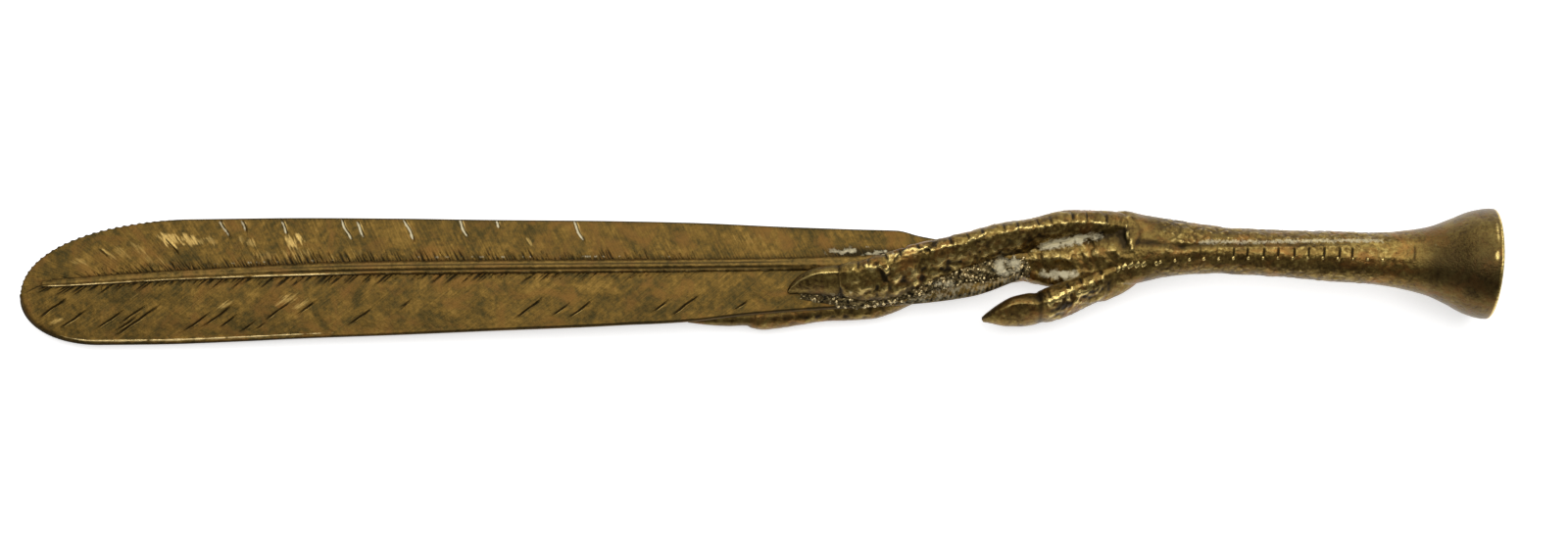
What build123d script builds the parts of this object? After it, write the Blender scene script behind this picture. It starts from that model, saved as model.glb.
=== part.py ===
"""Cast brass letter opener: a bird's leg whose toes clutch a feather, and the feather is the blade.

The feather, the leg and the four toes are separate castings. The feather's quill lies in a channel in the
palm, each toe has a root that plugs into a socket in the palm, and brazing alloy runs over the seams.

Two frames are used. The tool frame has X along the feather's shaft from the tip (X = 0) to the bell end, Y
across the feather and Z out of its face. The desk frame is the opener as it lies: the bell's rim and the two
rear toes touch the desk at Z = 0, and the tip is just clear of it.
"""

import math
import os

from build123d import *

# Driving dimensions, in millimetres and degrees.

# Feather: vane outline, measured along and across from the shaft line
BLADE_LENGTH = 173.0
VANE_MID_AT = 98.0
TIP_BELOW_SHAFT = 5.0
UPPER_VANE_WIDTH = 8.3
UPPER_TIP_RUN = 31.0
UPPER_MID_WIDTH = 7.6
UPPER_VANE_SHORT = 18.0
UPPER_END_WIDTH = 5.6
LOWER_VANE_WIDTH = 13.6
LOWER_TIP_RUN = 14.0
LOWER_MID_WIDTH = 10.5
LOWER_GRIP_WIDTH = 7.1
LOWER_GRIP_SHORT = 23.0
LOWER_END_WIDTH = 2.4

# Feather: thickness, edge bevel, shaft and quill
VANE_THICKNESS = 1.9
EDGE_THICKNESS = 0.9
EDGE_BEVEL = 0.25
SHAFT_PROUD = 0.45
SHAFT_TIP_WIDTH = 1.3
QUILL_DIAMETER = 3.3
QUILL_LENGTH = 16.0

# Feather: splits where the barbs have parted
SPLIT_PITCH = 11.0
SPLIT_LENGTH = 4.2
SPLIT_WIDTH = 1.0
SPLIT_DEPTH = 0.3
UPPER_BARB_ANGLE = 52.0
LOWER_BARB_ANGLE = 34.0

# Leg: shank, bell end and palm
ANKLE_PAST_QUILL = 8.0
ANKLE_Y = 2.8
LEG_YAW = -3.1
LEG_LENGTH = 56.6
ANKLE_DIAMETER = 10.2
WAIST_DIAMETER = 7.7
WAIST_AT = 14.0
CALF_DIAMETER = 8.5
CALF_AT = 32.0
BELL_DIAMETER = 19.0
BELL_RUN = 12.0
BELL_LIP = 0.4
PALM_LENGTH = 25.0
PALM_WIDTH = 12.4
PALM_THICKNESS = 6.0

# Leg: gaps between the horny plates down the front of the shank, and the tendon groove beside them
PLATE_PITCH = 2.45
PLATE_COUNT = 11
PLATE_START = 6.0
PLATE_BAND = 2.4
PLATE_GAP = 0.45
PLATE_CUT = 0.35
TENDON_OFFSET = 2.5

# Toes: thickness at the thickest joint, reach of the flesh from the ankle to the claw, and the claw's length
FRONT_TOE_DIAMETER = 6.6
FRONT_TOE_REACH = 55.4
FRONT_CLAW_LENGTH = 8.4
HIND_TOE_DIAMETER = 5.8
HIND_TOE_REACH = 20.6
HIND_CLAW_LENGTH = 10.2
REAR_TOE_WIDTH = 5.2
OUTER_TOE_REACH = 70.7
INNER_TOE_REACH = 55.0
REAR_CLAW_LENGTH = 10.6
PAD_SETBACK = 3.0
CLAW_ROOT = 1.2
CLAW_TIP = 0.7

# Fits: the gap that brazing alloy fills, and how far a toe is let into the feather before it is trimmed to it
BRAZE_GAP = 0.05
TOE_BITE = 0.3
BRAZE_THICKNESS = 1.0

# How it lies: height of the shaft line over the desk at the outer rear toe's pad
STAND_HEIGHT = 5.9

# Derived placement.

os.makedirs("parts", exist_ok=True)
bell_radius = BELL_DIAMETER / 2
vane_half = VANE_THICKNESS / 2
edge_half = EDGE_THICKNESS / 2
upper_vane_end = BLADE_LENGTH - UPPER_VANE_SHORT
quill_end = BLADE_LENGTH + QUILL_LENGTH
ankle_x = quill_end + ANKLE_PAST_QUILL
bell_x = ankle_x + LEG_LENGTH * math.cos(math.radians(LEG_YAW))
bell_y = ANKLE_Y + LEG_LENGTH * math.sin(math.radians(LEG_YAW))
rim_x = ankle_x + (LEG_LENGTH - BELL_LIP) * math.cos(math.radians(LEG_YAW))
outer_pad_x = ankle_x - OUTER_TOE_REACH + PAD_SETBACK
inner_pad_x = ankle_x - INNER_TOE_REACH + PAD_SETBACK
lie_slope = (bell_radius - STAND_HEIGHT) / (rim_x - outer_pad_x)
lie = math.atan(lie_slope)
middle_y = (bell_y + bell_radius - LOWER_VANE_WIDTH) / 2
end_tilt = math.acos(math.cos(math.radians(LEG_YAW)) * math.cos(lie))
overall_length = bell_x * math.cos(lie) + (bell_radius - BELL_LIP) * math.sin(end_tilt)


def shaft_height(x):
    """Distance from the tool frame's X axis to the desk, square to that axis."""
    return STAND_HEIGHT + (x - outer_pad_x) * lie_slope


tool = Plane(
    origin=(-overall_length / 2, -middle_y, shaft_height(0) * math.cos(lie)),
    x_dir=(math.cos(lie), 0, math.sin(lie)),
    z_dir=(-math.sin(lie), 0, math.cos(lie)),
)
leg_axis = Plane(
    origin=tool.from_local_coords((ankle_x, ANKLE_Y, 0)),
    x_dir=tool.x_dir.rotate(Axis((0, 0, 0), tool.z_dir), LEG_YAW),
    z_dir=tool.z_dir,
)


def cross_section(frame, x, y=0.0, z=0.0):
    """Plane square to a frame's X axis: its own x runs across the feather, its own y out of its face."""
    return Plane(frame.from_local_coords((x, y, z)), x_dir=frame.y_dir, z_dir=frame.x_dir)


# Feather blade: two vanes crowned like a lens, parted at their edges, with the shaft standing proud.

SHAFT_LINE = (
    (4.0, -3.0, SHAFT_TIP_WIDTH),
    (0.17 * BLADE_LENGTH, -1.5, 0.56 * QUILL_DIAMETER),
    (0.37 * BLADE_LENGTH, -0.4, 0.80 * QUILL_DIAMETER),
    (0.75 * BLADE_LENGTH, 0.0, 0.82 * QUILL_DIAMETER),
    (BLADE_LENGTH, 1.4, QUILL_DIAMETER),
    (quill_end, 2.2, 0.8 * QUILL_DIAMETER),
)


def add_shaft(grow=0.0, mode=Mode.ADD):
    """Lofts shaft and quill: the shaft stands proud of the vane, the quill is centred on its thickness."""
    sections = []
    for x, y, width in SHAFT_LINE:
        z = max(0.0, vane_half + SHAFT_PROUD - width / 2)
        with BuildSketch(cross_section(tool, x, y, z), mode=Mode.PRIVATE) as section:
            Circle(width / 2 + grow)
        sections.append(section.sketch)
    loft(sections, ruled=True, mode=mode)


def face_height(y):
    """Height of the vane's crowned face over its middle plane, at a distance from the shaft line."""
    crown = (UPPER_VANE_WIDTH - LOWER_VANE_WIDTH) / 2
    reach = (UPPER_VANE_WIDTH + LOWER_VANE_WIDTH) / 2
    return vane_half - (vane_half - edge_half) * ((y - crown) / reach) ** 2


def add_split(x, y, angle):
    """Cuts one V-shaped parting in the vane's face, from a point outward along its barbs."""
    heading = math.radians(angle)
    along = tool.x_dir * math.cos(heading) + tool.y_dir * math.sin(heading)
    start = tool.from_local_coords((x, y, face_height(y)))
    half = SPLIT_WIDTH / 2
    with BuildSketch(Plane(start, x_dir=tool.z_dir, z_dir=along), mode=Mode.PRIVATE) as vee:
        Polygon((-SPLIT_DEPTH, 0), (SPLIT_DEPTH, -half), (SPLIT_DEPTH, half), align=None)
    extrude(vee.sketch, amount=SPLIT_LENGTH, mode=Mode.SUBTRACT)


with BuildPart() as feather:
    with BuildSketch(tool.offset(-vane_half)):
        with BuildLine():
            upper_tip = EllipticalCenterArc(
                (UPPER_TIP_RUN, -TIP_BELOW_SHAFT),
                UPPER_TIP_RUN,
                UPPER_VANE_WIDTH + TIP_BELOW_SHAFT,
                start_angle=90,
                arc_size=90,
            )
            lower_tip = EllipticalCenterArc(
                (LOWER_TIP_RUN, -TIP_BELOW_SHAFT),
                LOWER_TIP_RUN,
                LOWER_VANE_WIDTH - TIP_BELOW_SHAFT,
                start_angle=180,
                arc_size=90,
            )
            upper_edge = Spline(
                upper_tip @ 0,
                (VANE_MID_AT, UPPER_MID_WIDTH),
                (upper_vane_end - 4, UPPER_END_WIDTH),
                (upper_vane_end, UPPER_END_WIDTH / 2),
                (BLADE_LENGTH, 0.6 * QUILL_DIAMETER),
                tangents=((1, 0), (1, 0)),
            )
            lower_edge = Spline(
                lower_tip @ 1,
                (VANE_MID_AT, -LOWER_MID_WIDTH),
                (BLADE_LENGTH - LOWER_GRIP_SHORT, -LOWER_GRIP_WIDTH),
                (BLADE_LENGTH, -LOWER_END_WIDTH),
                tangents=((1, 0), (1, 0.2)),
            )
            Line(upper_edge @ 1, lower_edge @ 1)
        make_face()
    extrude(amount=VANE_THICKNESS)
    with BuildSketch(cross_section(tool, 0)):
        with BuildLine():
            crown_y = (UPPER_VANE_WIDTH - LOWER_VANE_WIDTH) / 2
            front_arc = ThreePointArc(
                (-LOWER_VANE_WIDTH, edge_half), (crown_y, vane_half), (UPPER_VANE_WIDTH, edge_half)
            )
            back_arc = ThreePointArc(
                (-LOWER_VANE_WIDTH, -edge_half), (crown_y, -vane_half), (UPPER_VANE_WIDTH, -edge_half)
            )
            Line(front_arc @ 0, back_arc @ 0)
            Line(front_arc @ 1, back_arc @ 1)
        make_face()
    extrude(amount=BLADE_LENGTH, mode=Mode.INTERSECT)
    out_of_face = Axis(tool.origin, tool.z_dir)
    across_face = Axis(tool.origin, tool.y_dir)
    front_face = feather.faces().sort_by(out_of_face)[-1]
    chamfer(front_face.edges().sort_by(across_face)[0], EDGE_BEVEL)
    for row in range(1, int(upper_vane_end / SPLIT_PITCH)):
        add_split(row * SPLIT_PITCH + 6, 0.45 * UPPER_VANE_WIDTH, 180 - UPPER_BARB_ANGLE)
        add_split(row * SPLIT_PITCH + 2, -0.3 * LOWER_VANE_WIDTH, 180 + LOWER_BARB_ANGLE)
    add_shaft()
feather.part.label = "feather_blade"
export_step(feather.part, "parts/feather_blade.step")


# Toes: each is lofted through its joints. A joint is its share of the toe's reach from the ankle, its place
# across the feather, its height, and its width and thickness as shares of the toe's thickest joint.


def over_vane(thickness):
    """Height of a toe's middle where it lies on the feather's face."""
    return vane_half - TOE_BITE + thickness / 2


def behind_vane(thickness):
    """Height of a toe's middle where it lies against the feather's back."""
    return -over_vane(thickness)


def pad_thickness(x):
    """Thickness of a rear toe's pad, which fills the space between the feather's back and the desk."""
    return shaft_height(x) - vane_half + TOE_BITE


def add_limb(joints, grow=0.0, mode=Mode.ADD):
    """Lofts one smooth limb through joints given as x, y, z, width and thickness in the tool frame."""
    points = [Vector(*joint[:3]) for joint in joints]
    sections = []
    for place, (x, y, z, width, thickness) in enumerate(joints):
        before = points[max(place - 1, 0)]
        after = points[min(place + 1, len(points) - 1)]
        heading = after - before
        across = Vector(0, 0, 1).cross(heading)
        square_to_limb = Plane(
            tool.from_local_coords((x, y, z)),
            x_dir=tool.from_local_coords(across) - tool.origin,
            z_dir=tool.from_local_coords(heading) - tool.origin,
        )
        with BuildSketch(square_to_limb, mode=Mode.PRIVATE) as section:
            Ellipse(width / 2 + grow, thickness / 2 + grow)
        sections.append(section.sketch)
    loft(sections, mode=mode)


# Front toe: over the feather's face, its claw pointing to the tip

front = FRONT_TOE_DIAMETER
front_claw_x = ankle_x - FRONT_TOE_REACH
front_flesh = (
    (ankle_x - 0.04 * FRONT_TOE_REACH, 4.5, 0.4, 0.60 * front, 0.60 * front),
    (ankle_x - 0.15 * FRONT_TOE_REACH, 6.2, 0.9, 0.82 * front, 0.80 * front),
    (ankle_x - 0.27 * FRONT_TOE_REACH, 6.4, 1.6, 0.84 * front, 0.86 * front),
    (ankle_x - 0.41 * FRONT_TOE_REACH, 4.8, 2.5, 0.78 * front, 0.80 * front),
    (ankle_x - 0.56 * FRONT_TOE_REACH, 2.9, over_vane(0.82 * front), 0.84 * front, 0.82 * front),
    (ankle_x - 0.71 * FRONT_TOE_REACH, 0.5, over_vane(0.80 * front), 0.98 * front, 0.80 * front),
    (ankle_x - 0.85 * FRONT_TOE_REACH, -2.4, over_vane(0.86 * front), 1.10 * front, 0.86 * front),
    (front_claw_x + 2.0, -2.9, over_vane(0.78 * front), 0.84 * front, 0.78 * front),
    (front_claw_x, -3.0, over_vane(0.70 * front), 0.76 * front, 0.70 * front),
)
front_claw = (
    (front_claw_x + CLAW_ROOT, -3.0, over_vane(0.64 * front), 0.66 * front, 0.64 * front),
    (front_claw_x - 0.29 * FRONT_CLAW_LENGTH, -3.0, over_vane(0.66 * front), 0.68 * front, 0.66 * front),
    (front_claw_x - 0.58 * FRONT_CLAW_LENGTH, -3.4, over_vane(0.56 * front), 0.58 * front, 0.56 * front),
    (front_claw_x - 0.83 * FRONT_CLAW_LENGTH, -4.1, over_vane(0.34 * front), 0.34 * front, 0.34 * front),
    (front_claw_x - FRONT_CLAW_LENGTH, -4.8, over_vane(CLAW_TIP), CLAW_TIP, CLAW_TIP),
)

with BuildPart() as front_toe:
    add_limb(front_flesh)
    add_limb(front_claw)
    add(feather.part, mode=Mode.SUBTRACT)
front_toe.part.label = "front_toe"
export_step(front_toe.part, "parts/front_toe.step")

# Hind toe: spread clear of the feather on the other side of the quill

hind = HIND_TOE_DIAMETER
hind_claw_x = ankle_x - HIND_TOE_REACH
hind_flesh = (
    (ankle_x - 0.14 * HIND_TOE_REACH, 0.3, 0.2, 0.62 * hind, 0.62 * hind),
    (ankle_x - 0.39 * HIND_TOE_REACH, -2.6, 0.4, 0.86 * hind, 0.86 * hind),
    (ankle_x - 0.63 * HIND_TOE_REACH, -4.3, 0.7, 0.94 * hind, 0.92 * hind),
    (ankle_x - 0.90 * HIND_TOE_REACH, -6.6, 0.7, 1.00 * hind, 1.00 * hind),
    (hind_claw_x, -7.3, 0.6, 0.96 * hind, 0.90 * hind),
)
hind_claw = (
    (hind_claw_x + CLAW_ROOT, -6.9, 0.6, 0.86 * hind, 0.80 * hind),
    (hind_claw_x - 0.18 * HIND_CLAW_LENGTH, -7.6, 0.6, 0.94 * hind, 0.86 * hind),
    (hind_claw_x - 0.41 * HIND_CLAW_LENGTH, -8.0, 0.5, 0.92 * hind, 0.80 * hind),
    (hind_claw_x - 0.65 * HIND_CLAW_LENGTH, -8.6, 0.2, 0.70 * hind, 0.60 * hind),
    (hind_claw_x - 0.87 * HIND_CLAW_LENGTH, -9.1, -0.3, 0.34 * hind, 0.32 * hind),
    (hind_claw_x - HIND_CLAW_LENGTH, -9.4, -0.6, CLAW_TIP, CLAW_TIP),
)

with BuildPart() as hind_toe:
    add_limb(hind_flesh)
    add_limb(hind_claw)
    add(feather.part, mode=Mode.SUBTRACT)
hind_toe.part.label = "hind_toe"
export_step(hind_toe.part, "parts/hind_toe.step")

# Outer rear toe: behind the feather, its two joints showing past the lower edge

rear = REAR_TOE_WIDTH
outer_claw_x = ankle_x - OUTER_TOE_REACH
outer_pad = pad_thickness(outer_pad_x)
outer_flesh = (
    (ankle_x - 0.20 * OUTER_TOE_REACH, 0.2, -2.9, 0.68 * rear, 0.70 * rear),
    (ankle_x - 0.31 * OUTER_TOE_REACH, -0.3, -3.2, 0.80 * rear, 0.86 * rear),
    (ankle_x - 0.43 * OUTER_TOE_REACH, -1.5, behind_vane(0.88 * rear), 0.84 * rear, 0.88 * rear),
    (ankle_x - 0.57 * OUTER_TOE_REACH, -3.5, behind_vane(0.86 * rear), 0.84 * rear, 0.86 * rear),
    (ankle_x - 0.70 * OUTER_TOE_REACH, -6.5, behind_vane(0.96 * rear), 0.98 * rear, 0.96 * rear),
    (ankle_x - 0.82 * OUTER_TOE_REACH, -7.3, behind_vane(0.84 * rear), 0.86 * rear, 0.84 * rear),
    (outer_pad_x, -8.3, behind_vane(outer_pad), 1.00 * rear, outer_pad),
    (outer_claw_x, -8.5, behind_vane(0.78 * rear), 0.78 * rear, 0.78 * rear),
)
outer_claw = (
    (outer_claw_x + CLAW_ROOT, -8.4, behind_vane(0.68 * rear), 0.66 * rear, 0.68 * rear),
    (outer_claw_x - 0.36 * REAR_CLAW_LENGTH, -8.8, behind_vane(0.62 * rear), 0.60 * rear, 0.62 * rear),
    (outer_claw_x - 0.73 * REAR_CLAW_LENGTH, -9.1, behind_vane(0.40 * rear), 0.38 * rear, 0.40 * rear),
    (outer_claw_x - REAR_CLAW_LENGTH, -9.4, behind_vane(CLAW_TIP), CLAW_TIP, CLAW_TIP),
)

with BuildPart() as rear_toe_outer:
    add_limb(outer_flesh)
    add_limb(outer_claw)
    for neighbour in (feather.part, hind_toe.part):
        add(neighbour, mode=Mode.SUBTRACT)
rear_toe_outer.part.label = "rear_toe_outer"
export_step(rear_toe_outer.part, "parts/rear_toe_outer.step")

# Inner rear toe: behind the feather, hidden from its face

inner_claw_x = ankle_x - INNER_TOE_REACH
inner_pad = pad_thickness(inner_pad_x)
inner_flesh = (
    (ankle_x - 0.25 * INNER_TOE_REACH, 4.2, -2.9, 0.68 * rear, 0.70 * rear),
    (ankle_x - 0.40 * INNER_TOE_REACH, 4.0, -3.2, 0.78 * rear, 0.86 * rear),
    (ankle_x - 0.52 * INNER_TOE_REACH, 3.2, behind_vane(0.88 * rear), 0.80 * rear, 0.88 * rear),
    (ankle_x - 0.64 * INNER_TOE_REACH, 2.6, behind_vane(0.98 * rear), 0.90 * rear, 0.98 * rear),
    (ankle_x - 0.80 * INNER_TOE_REACH, 2.3, behind_vane(0.86 * rear), 0.84 * rear, 0.86 * rear),
    (inner_pad_x, 2.0, behind_vane(inner_pad), 0.96 * rear, inner_pad),
    (inner_claw_x, 1.8, behind_vane(0.78 * rear), 0.76 * rear, 0.78 * rear),
)
inner_claw = (
    (inner_claw_x + CLAW_ROOT, 1.9, behind_vane(0.68 * rear), 0.64 * rear, 0.68 * rear),
    (inner_claw_x - 0.36 * REAR_CLAW_LENGTH, 1.5, behind_vane(0.62 * rear), 0.58 * rear, 0.62 * rear),
    (inner_claw_x - 0.73 * REAR_CLAW_LENGTH, 1.3, behind_vane(0.40 * rear), 0.38 * rear, 0.40 * rear),
    (inner_claw_x - REAR_CLAW_LENGTH, 1.2, behind_vane(CLAW_TIP), CLAW_TIP, CLAW_TIP),
)

with BuildPart() as rear_toe_inner:
    add_limb(inner_flesh)
    add_limb(inner_claw)
    for neighbour in (feather.part, front_toe.part, rear_toe_outer.part):
        add(neighbour, mode=Mode.SUBTRACT)
rear_toe_inner.part.label = "rear_toe_inner"
export_step(rear_toe_inner.part, "parts/rear_toe_inner.step")


# Leg: shank and bell turned about the leg's axis, with the palm lofted on in front of the ankle.


def add_shank(inset=0.0, mode=Mode.ADD):
    """Turns the shank and bell about the leg's axis, or the same form set in by a depth all over."""
    with BuildSketch(leg_axis, mode=Mode.PRIVATE) as half_section:
        with BuildLine():
            side = Spline(
                (0, ANKLE_DIAMETER / 2 - inset),
                (WAIST_AT, WAIST_DIAMETER / 2 - inset),
                (CALF_AT, CALF_DIAMETER / 2 - inset),
                (LEG_LENGTH - BELL_RUN, CALF_DIAMETER / 2 + 1.2 - inset),
                (LEG_LENGTH - 0.42 * BELL_RUN, 0.88 * bell_radius - inset),
                (LEG_LENGTH - BELL_LIP, bell_radius - inset),
                tangents=((1, -0.15), (1, 0.05)),
            )
            lip = Line(side @ 1, (LEG_LENGTH, bell_radius - BELL_LIP - inset))
            Polyline(lip @ 1, (LEG_LENGTH, 0), (0, 0), side @ 0)
        make_face()
    revolve(half_section.sketch, axis=Axis(leg_axis.origin, leg_axis.x_dir), mode=mode)


# A thin skin of the shank, kept only where the plate gaps and the tendon groove run
with BuildPart() as shank_relief:
    add_shank()
    add_shank(inset=PLATE_CUT, mode=Mode.SUBTRACT)
    with BuildSketch(leg_axis):
        for plate in range(PLATE_COUNT):
            with Locations((PLATE_START + plate * PLATE_PITCH, 0)):
                Rectangle(PLATE_GAP, PLATE_BAND)
        with Locations((CALF_AT / 2, TENDON_OFFSET)):
            Rectangle(CALF_AT, PLATE_GAP)
    extrude(amount=bell_radius, mode=Mode.INTERSECT)

# Palm sections ahead of the ankle: share of the palm's length, place, and shares of its width and thickness
PALM_SECTIONS = (
    (1.00, -1.8, -2.3, 0.55, 0.75),
    (0.86, -1.7, -2.0, 0.84, 1.08),
    (0.60, -1.1, -1.6, 1.00, 1.20),
    (0.28, -0.5, -0.4, 1.03, 1.37),
)

with BuildPart() as leg:
    add_shank()
    for share, y, z, width, thickness in PALM_SECTIONS:
        with BuildSketch(cross_section(leg_axis, -share * PALM_LENGTH, y, z)):
            Ellipse(width * PALM_WIDTH / 2, thickness * PALM_THICKNESS / 2)
    with BuildSketch(cross_section(leg_axis, 0)):
        Ellipse(ANKLE_DIAMETER / 2, ANKLE_DIAMETER / 2)
    loft()
    add(shank_relief.part, mode=Mode.SUBTRACT)
    for flesh in (front_flesh, hind_flesh, outer_flesh, inner_flesh):
        add_limb(flesh, grow=BRAZE_GAP, mode=Mode.SUBTRACT)
    add_shaft(grow=BRAZE_GAP, mode=Mode.SUBTRACT)
    add(feather.part, mode=Mode.SUBTRACT)
leg.part.label = "leg"
export_step(leg.part, "parts/leg.step")


# Braze bed: alloy run on the feather's face along the front toe, from its claw back to the palm.

# Distance from the vane's end, place across the feather, width, and share of the bed's thickness
BRAZE_SECTIONS = (
    (37.0, -5.5, 2.0, 0.5),
    (30.0, -6.0, 3.0, 0.7),
    (23.0, -5.6, 2.4, 0.8),
    (16.0, -3.4, 3.4, 0.9),
    (11.0, -2.2, 4.2, 1.0),
    (5.0, -1.2, 4.0, 1.0),
    (0.5, -0.3, 3.2, 0.8),
)

with BuildPart() as braze_bed:
    for back, y, width, share in BRAZE_SECTIONS:
        with BuildSketch(cross_section(tool, BLADE_LENGTH - back, y, face_height(y))):
            Ellipse(width / 2, share * BRAZE_THICKNESS)
    loft()
    for neighbour in (feather.part, front_toe.part, leg.part):
        add(neighbour, mode=Mode.SUBTRACT)
braze_bed.part.label = "braze_bed"
export_step(braze_bed.part, "parts/braze_bed.step")
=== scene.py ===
"""Looks of the cast brass letter opener: a bird's foot that clutches a feather, lying on a white desk.

Sizes are in millimetres in the tool frame: X along the feather from its tip, Y across it, Z out of its face.
They are laid on the desk, in metres and in the CAD frame, where each piece's mesh is made.
"""

import math

import bmesh
import bpy
import numpy as np
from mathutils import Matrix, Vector


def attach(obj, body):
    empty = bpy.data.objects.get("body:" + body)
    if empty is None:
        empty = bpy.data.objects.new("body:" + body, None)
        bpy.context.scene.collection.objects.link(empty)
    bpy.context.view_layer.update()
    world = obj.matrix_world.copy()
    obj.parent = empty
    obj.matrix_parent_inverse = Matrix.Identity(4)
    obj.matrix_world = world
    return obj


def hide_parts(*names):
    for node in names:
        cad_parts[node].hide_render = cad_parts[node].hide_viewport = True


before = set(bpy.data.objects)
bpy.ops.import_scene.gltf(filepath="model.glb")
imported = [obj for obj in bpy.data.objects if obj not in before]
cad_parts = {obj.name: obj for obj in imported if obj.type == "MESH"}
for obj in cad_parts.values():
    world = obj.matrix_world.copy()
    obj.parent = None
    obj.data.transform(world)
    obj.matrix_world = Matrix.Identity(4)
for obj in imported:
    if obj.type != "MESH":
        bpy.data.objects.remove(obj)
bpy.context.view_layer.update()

# Feather vanes: the blade of the opener, one brass casting of a flight feather, worn olive and rust brown.
# The barbs sweep from the shaft to the tip, with cuts where they parted, slits in the narrow vane's edge and a
# bevel filed along the wide vane's edge.

LIE = 0.0290668
TIP_ON_DESK = (-126.9843, 2.1804, 2.1397)


def on_desk(points):
    """Tool frame in millimetres to the desk frame in metres."""
    x, y, z = np.moveaxis(np.asarray(points, float), -1, 0)
    c, s = math.cos(LIE), math.sin(LIE)
    laid = np.stack([c * x - s * z, y, s * x + c * z], -1)
    return (laid + TIP_ON_DESK) / 1000


def kept(value):
    """Value held between 0 and 1."""
    return np.clip(value, 0, 1)


def hump(value, middle, breadth, power=2):
    """1 at a middle, fading to 0 over about a breadth to either side, with a flatter top for a higher power."""
    return np.exp(-(((value - middle) / breadth) ** power))


def flow(knots, values, at):
    """Smooth line through values at knots that never swings past them."""
    knots, values, at = np.asarray(knots, float), np.asarray(values, float), np.asarray(at, float)
    if values.ndim > 1:
        return np.stack([flow(knots, column, at) for column in values.T], -1)
    gap = np.diff(knots)
    slope = np.diff(values) / gap
    tangent = np.zeros(len(knots))
    tangent[0], tangent[-1] = slope[0], slope[-1]
    before, after = slope[:-1], slope[1:]
    same_way = before * after > 0
    tangent[1:-1][same_way] = 2 * (before * after)[same_way] / (before + after)[same_way]
    cell = np.clip(np.searchsorted(knots, at, side="right") - 1, 0, len(gap) - 1)
    t = kept((at - knots[cell]) / gap[cell])
    return (
        (2 * t**3 - 3 * t**2 + 1) * values[cell]
        + (t**3 - 2 * t**2 + t) * gap[cell] * tangent[cell]
        + (3 * t**2 - 2 * t**3) * values[cell + 1]
        + (t**3 - t**2) * gap[cell] * tangent[cell + 1]
    )


def lattice(cells, seed):
    """Fixed random numbers from 0 to 1 for whole-number places."""
    key = cells[..., 0] * 73856093 ^ cells[..., 1] * 19349663 ^ cells[..., 2] * 83492791 ^ seed * 40503
    key = (key ^ (key >> 13)) * 1274126177 & 0x7FFFFFFF
    key = (key ^ (key >> 16)) * 1911520717 & 0x7FFFFFFF
    return (key & 0xFFFFFF) / 0xFFFFFF


def casting_noise(points, size, seed, octaves=2):
    """Soft unevenness from -1 to 1, of a size in millimetres, as a sand casting has."""
    total, weight, place = 0, 1, np.asarray(points, float) / size
    for _ in range(octaves):
        base = np.floor(place).astype(np.int64)
        f = place - base
        f = f * f * (3 - 2 * f)
        for corner in ((i, j, k) for i in (0, 1) for j in (0, 1) for k in (0, 1)):
            share = np.prod(np.where(np.array(corner), f, 1 - f), -1)
            total = total + weight * share * (2 * lattice(base + np.array(corner), seed) - 1)
        weight, place, seed = weight / 2, place * 2, seed + 7
    return total


def skin_piece(name, rings, finish, marks, threads=None, flat_end=False):
    """One closed mesh through rings of points, with poles at both ends or, for a flat end, one face at the last."""
    count, around = rings.shape[:2]
    here = np.arange(count * around).reshape(count, around)
    turned = np.roll(here, -1, 1)
    walls = np.stack([here[:-1], turned[:-1], turned[1:], here[1:]], -1).reshape(-1, 4).tolist()
    points = rings.reshape(-1, 3)
    values = {mark: np.broadcast_to(value, here.shape).ravel() for mark, value in marks.items()}
    if flat_end:
        walls.append(here[-1].tolist())
    for end in () if flat_end else (0, -1):
        ring = here[end]
        points = np.vstack([points, rings[end].mean(0)])
        values = {mark: np.append(value, value[ring].mean()) for mark, value in values.items()}
        pole = len(points) - 1
        walls += [[a, b, pole] for a, b in zip(ring.tolist(), np.roll(ring, -1).tolist())]
    mesh = bpy.data.meshes.new(name)
    mesh.from_pydata(on_desk(points).tolist(), [], walls)
    for mark, value in values.items():
        mesh.attributes.new(mark, "FLOAT", "POINT").data.foreach_set("value", value.astype(np.float32))
    if threads is not None:
        corner = np.zeros(len(mesh.loops), np.int32)
        mesh.loops.foreach_get("vertex_index", corner)
        layer = mesh.uv_layers.new(name="barbs")
        layer.data.foreach_set("uv", threads.reshape(-1, 2)[corner].astype(np.float32).ravel())
    shell = bmesh.new()
    shell.from_mesh(mesh)
    bmesh.ops.remove_doubles(shell, verts=shell.verts, dist=1e-7)
    bmesh.ops.recalc_face_normals(shell, faces=shell.faces)
    shell.to_mesh(mesh)
    shell.free()
    mesh.polygons.foreach_set("use_smooth", [True] * len(mesh.polygons))
    mesh.materials.append(finish)
    piece = bpy.data.objects.new(name, mesh)
    bpy.context.scene.collection.objects.link(piece)
    return piece


def add_node(tree, kind, inputs=None, **settings):
    """A node with its settings, and each input set to a value or wired to a socket."""
    node = tree.nodes.new(kind)
    for setting, value in settings.items():
        setattr(node, setting, value)
    for socket, value in (inputs or {}).items():
        if isinstance(value, bpy.types.NodeSocket):
            tree.links.new(value, node.inputs[socket])
        else:
            node.inputs[socket].default_value = value
    return node


def node_out(tree, kind, inputs=None, **settings):
    """First output of a new node."""
    return add_node(tree, kind, inputs, **settings).outputs[0]


PIT_SCALE = 2600.0
DRIED_FLUX = (0.68, 0.60, 0.385, 1)


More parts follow.
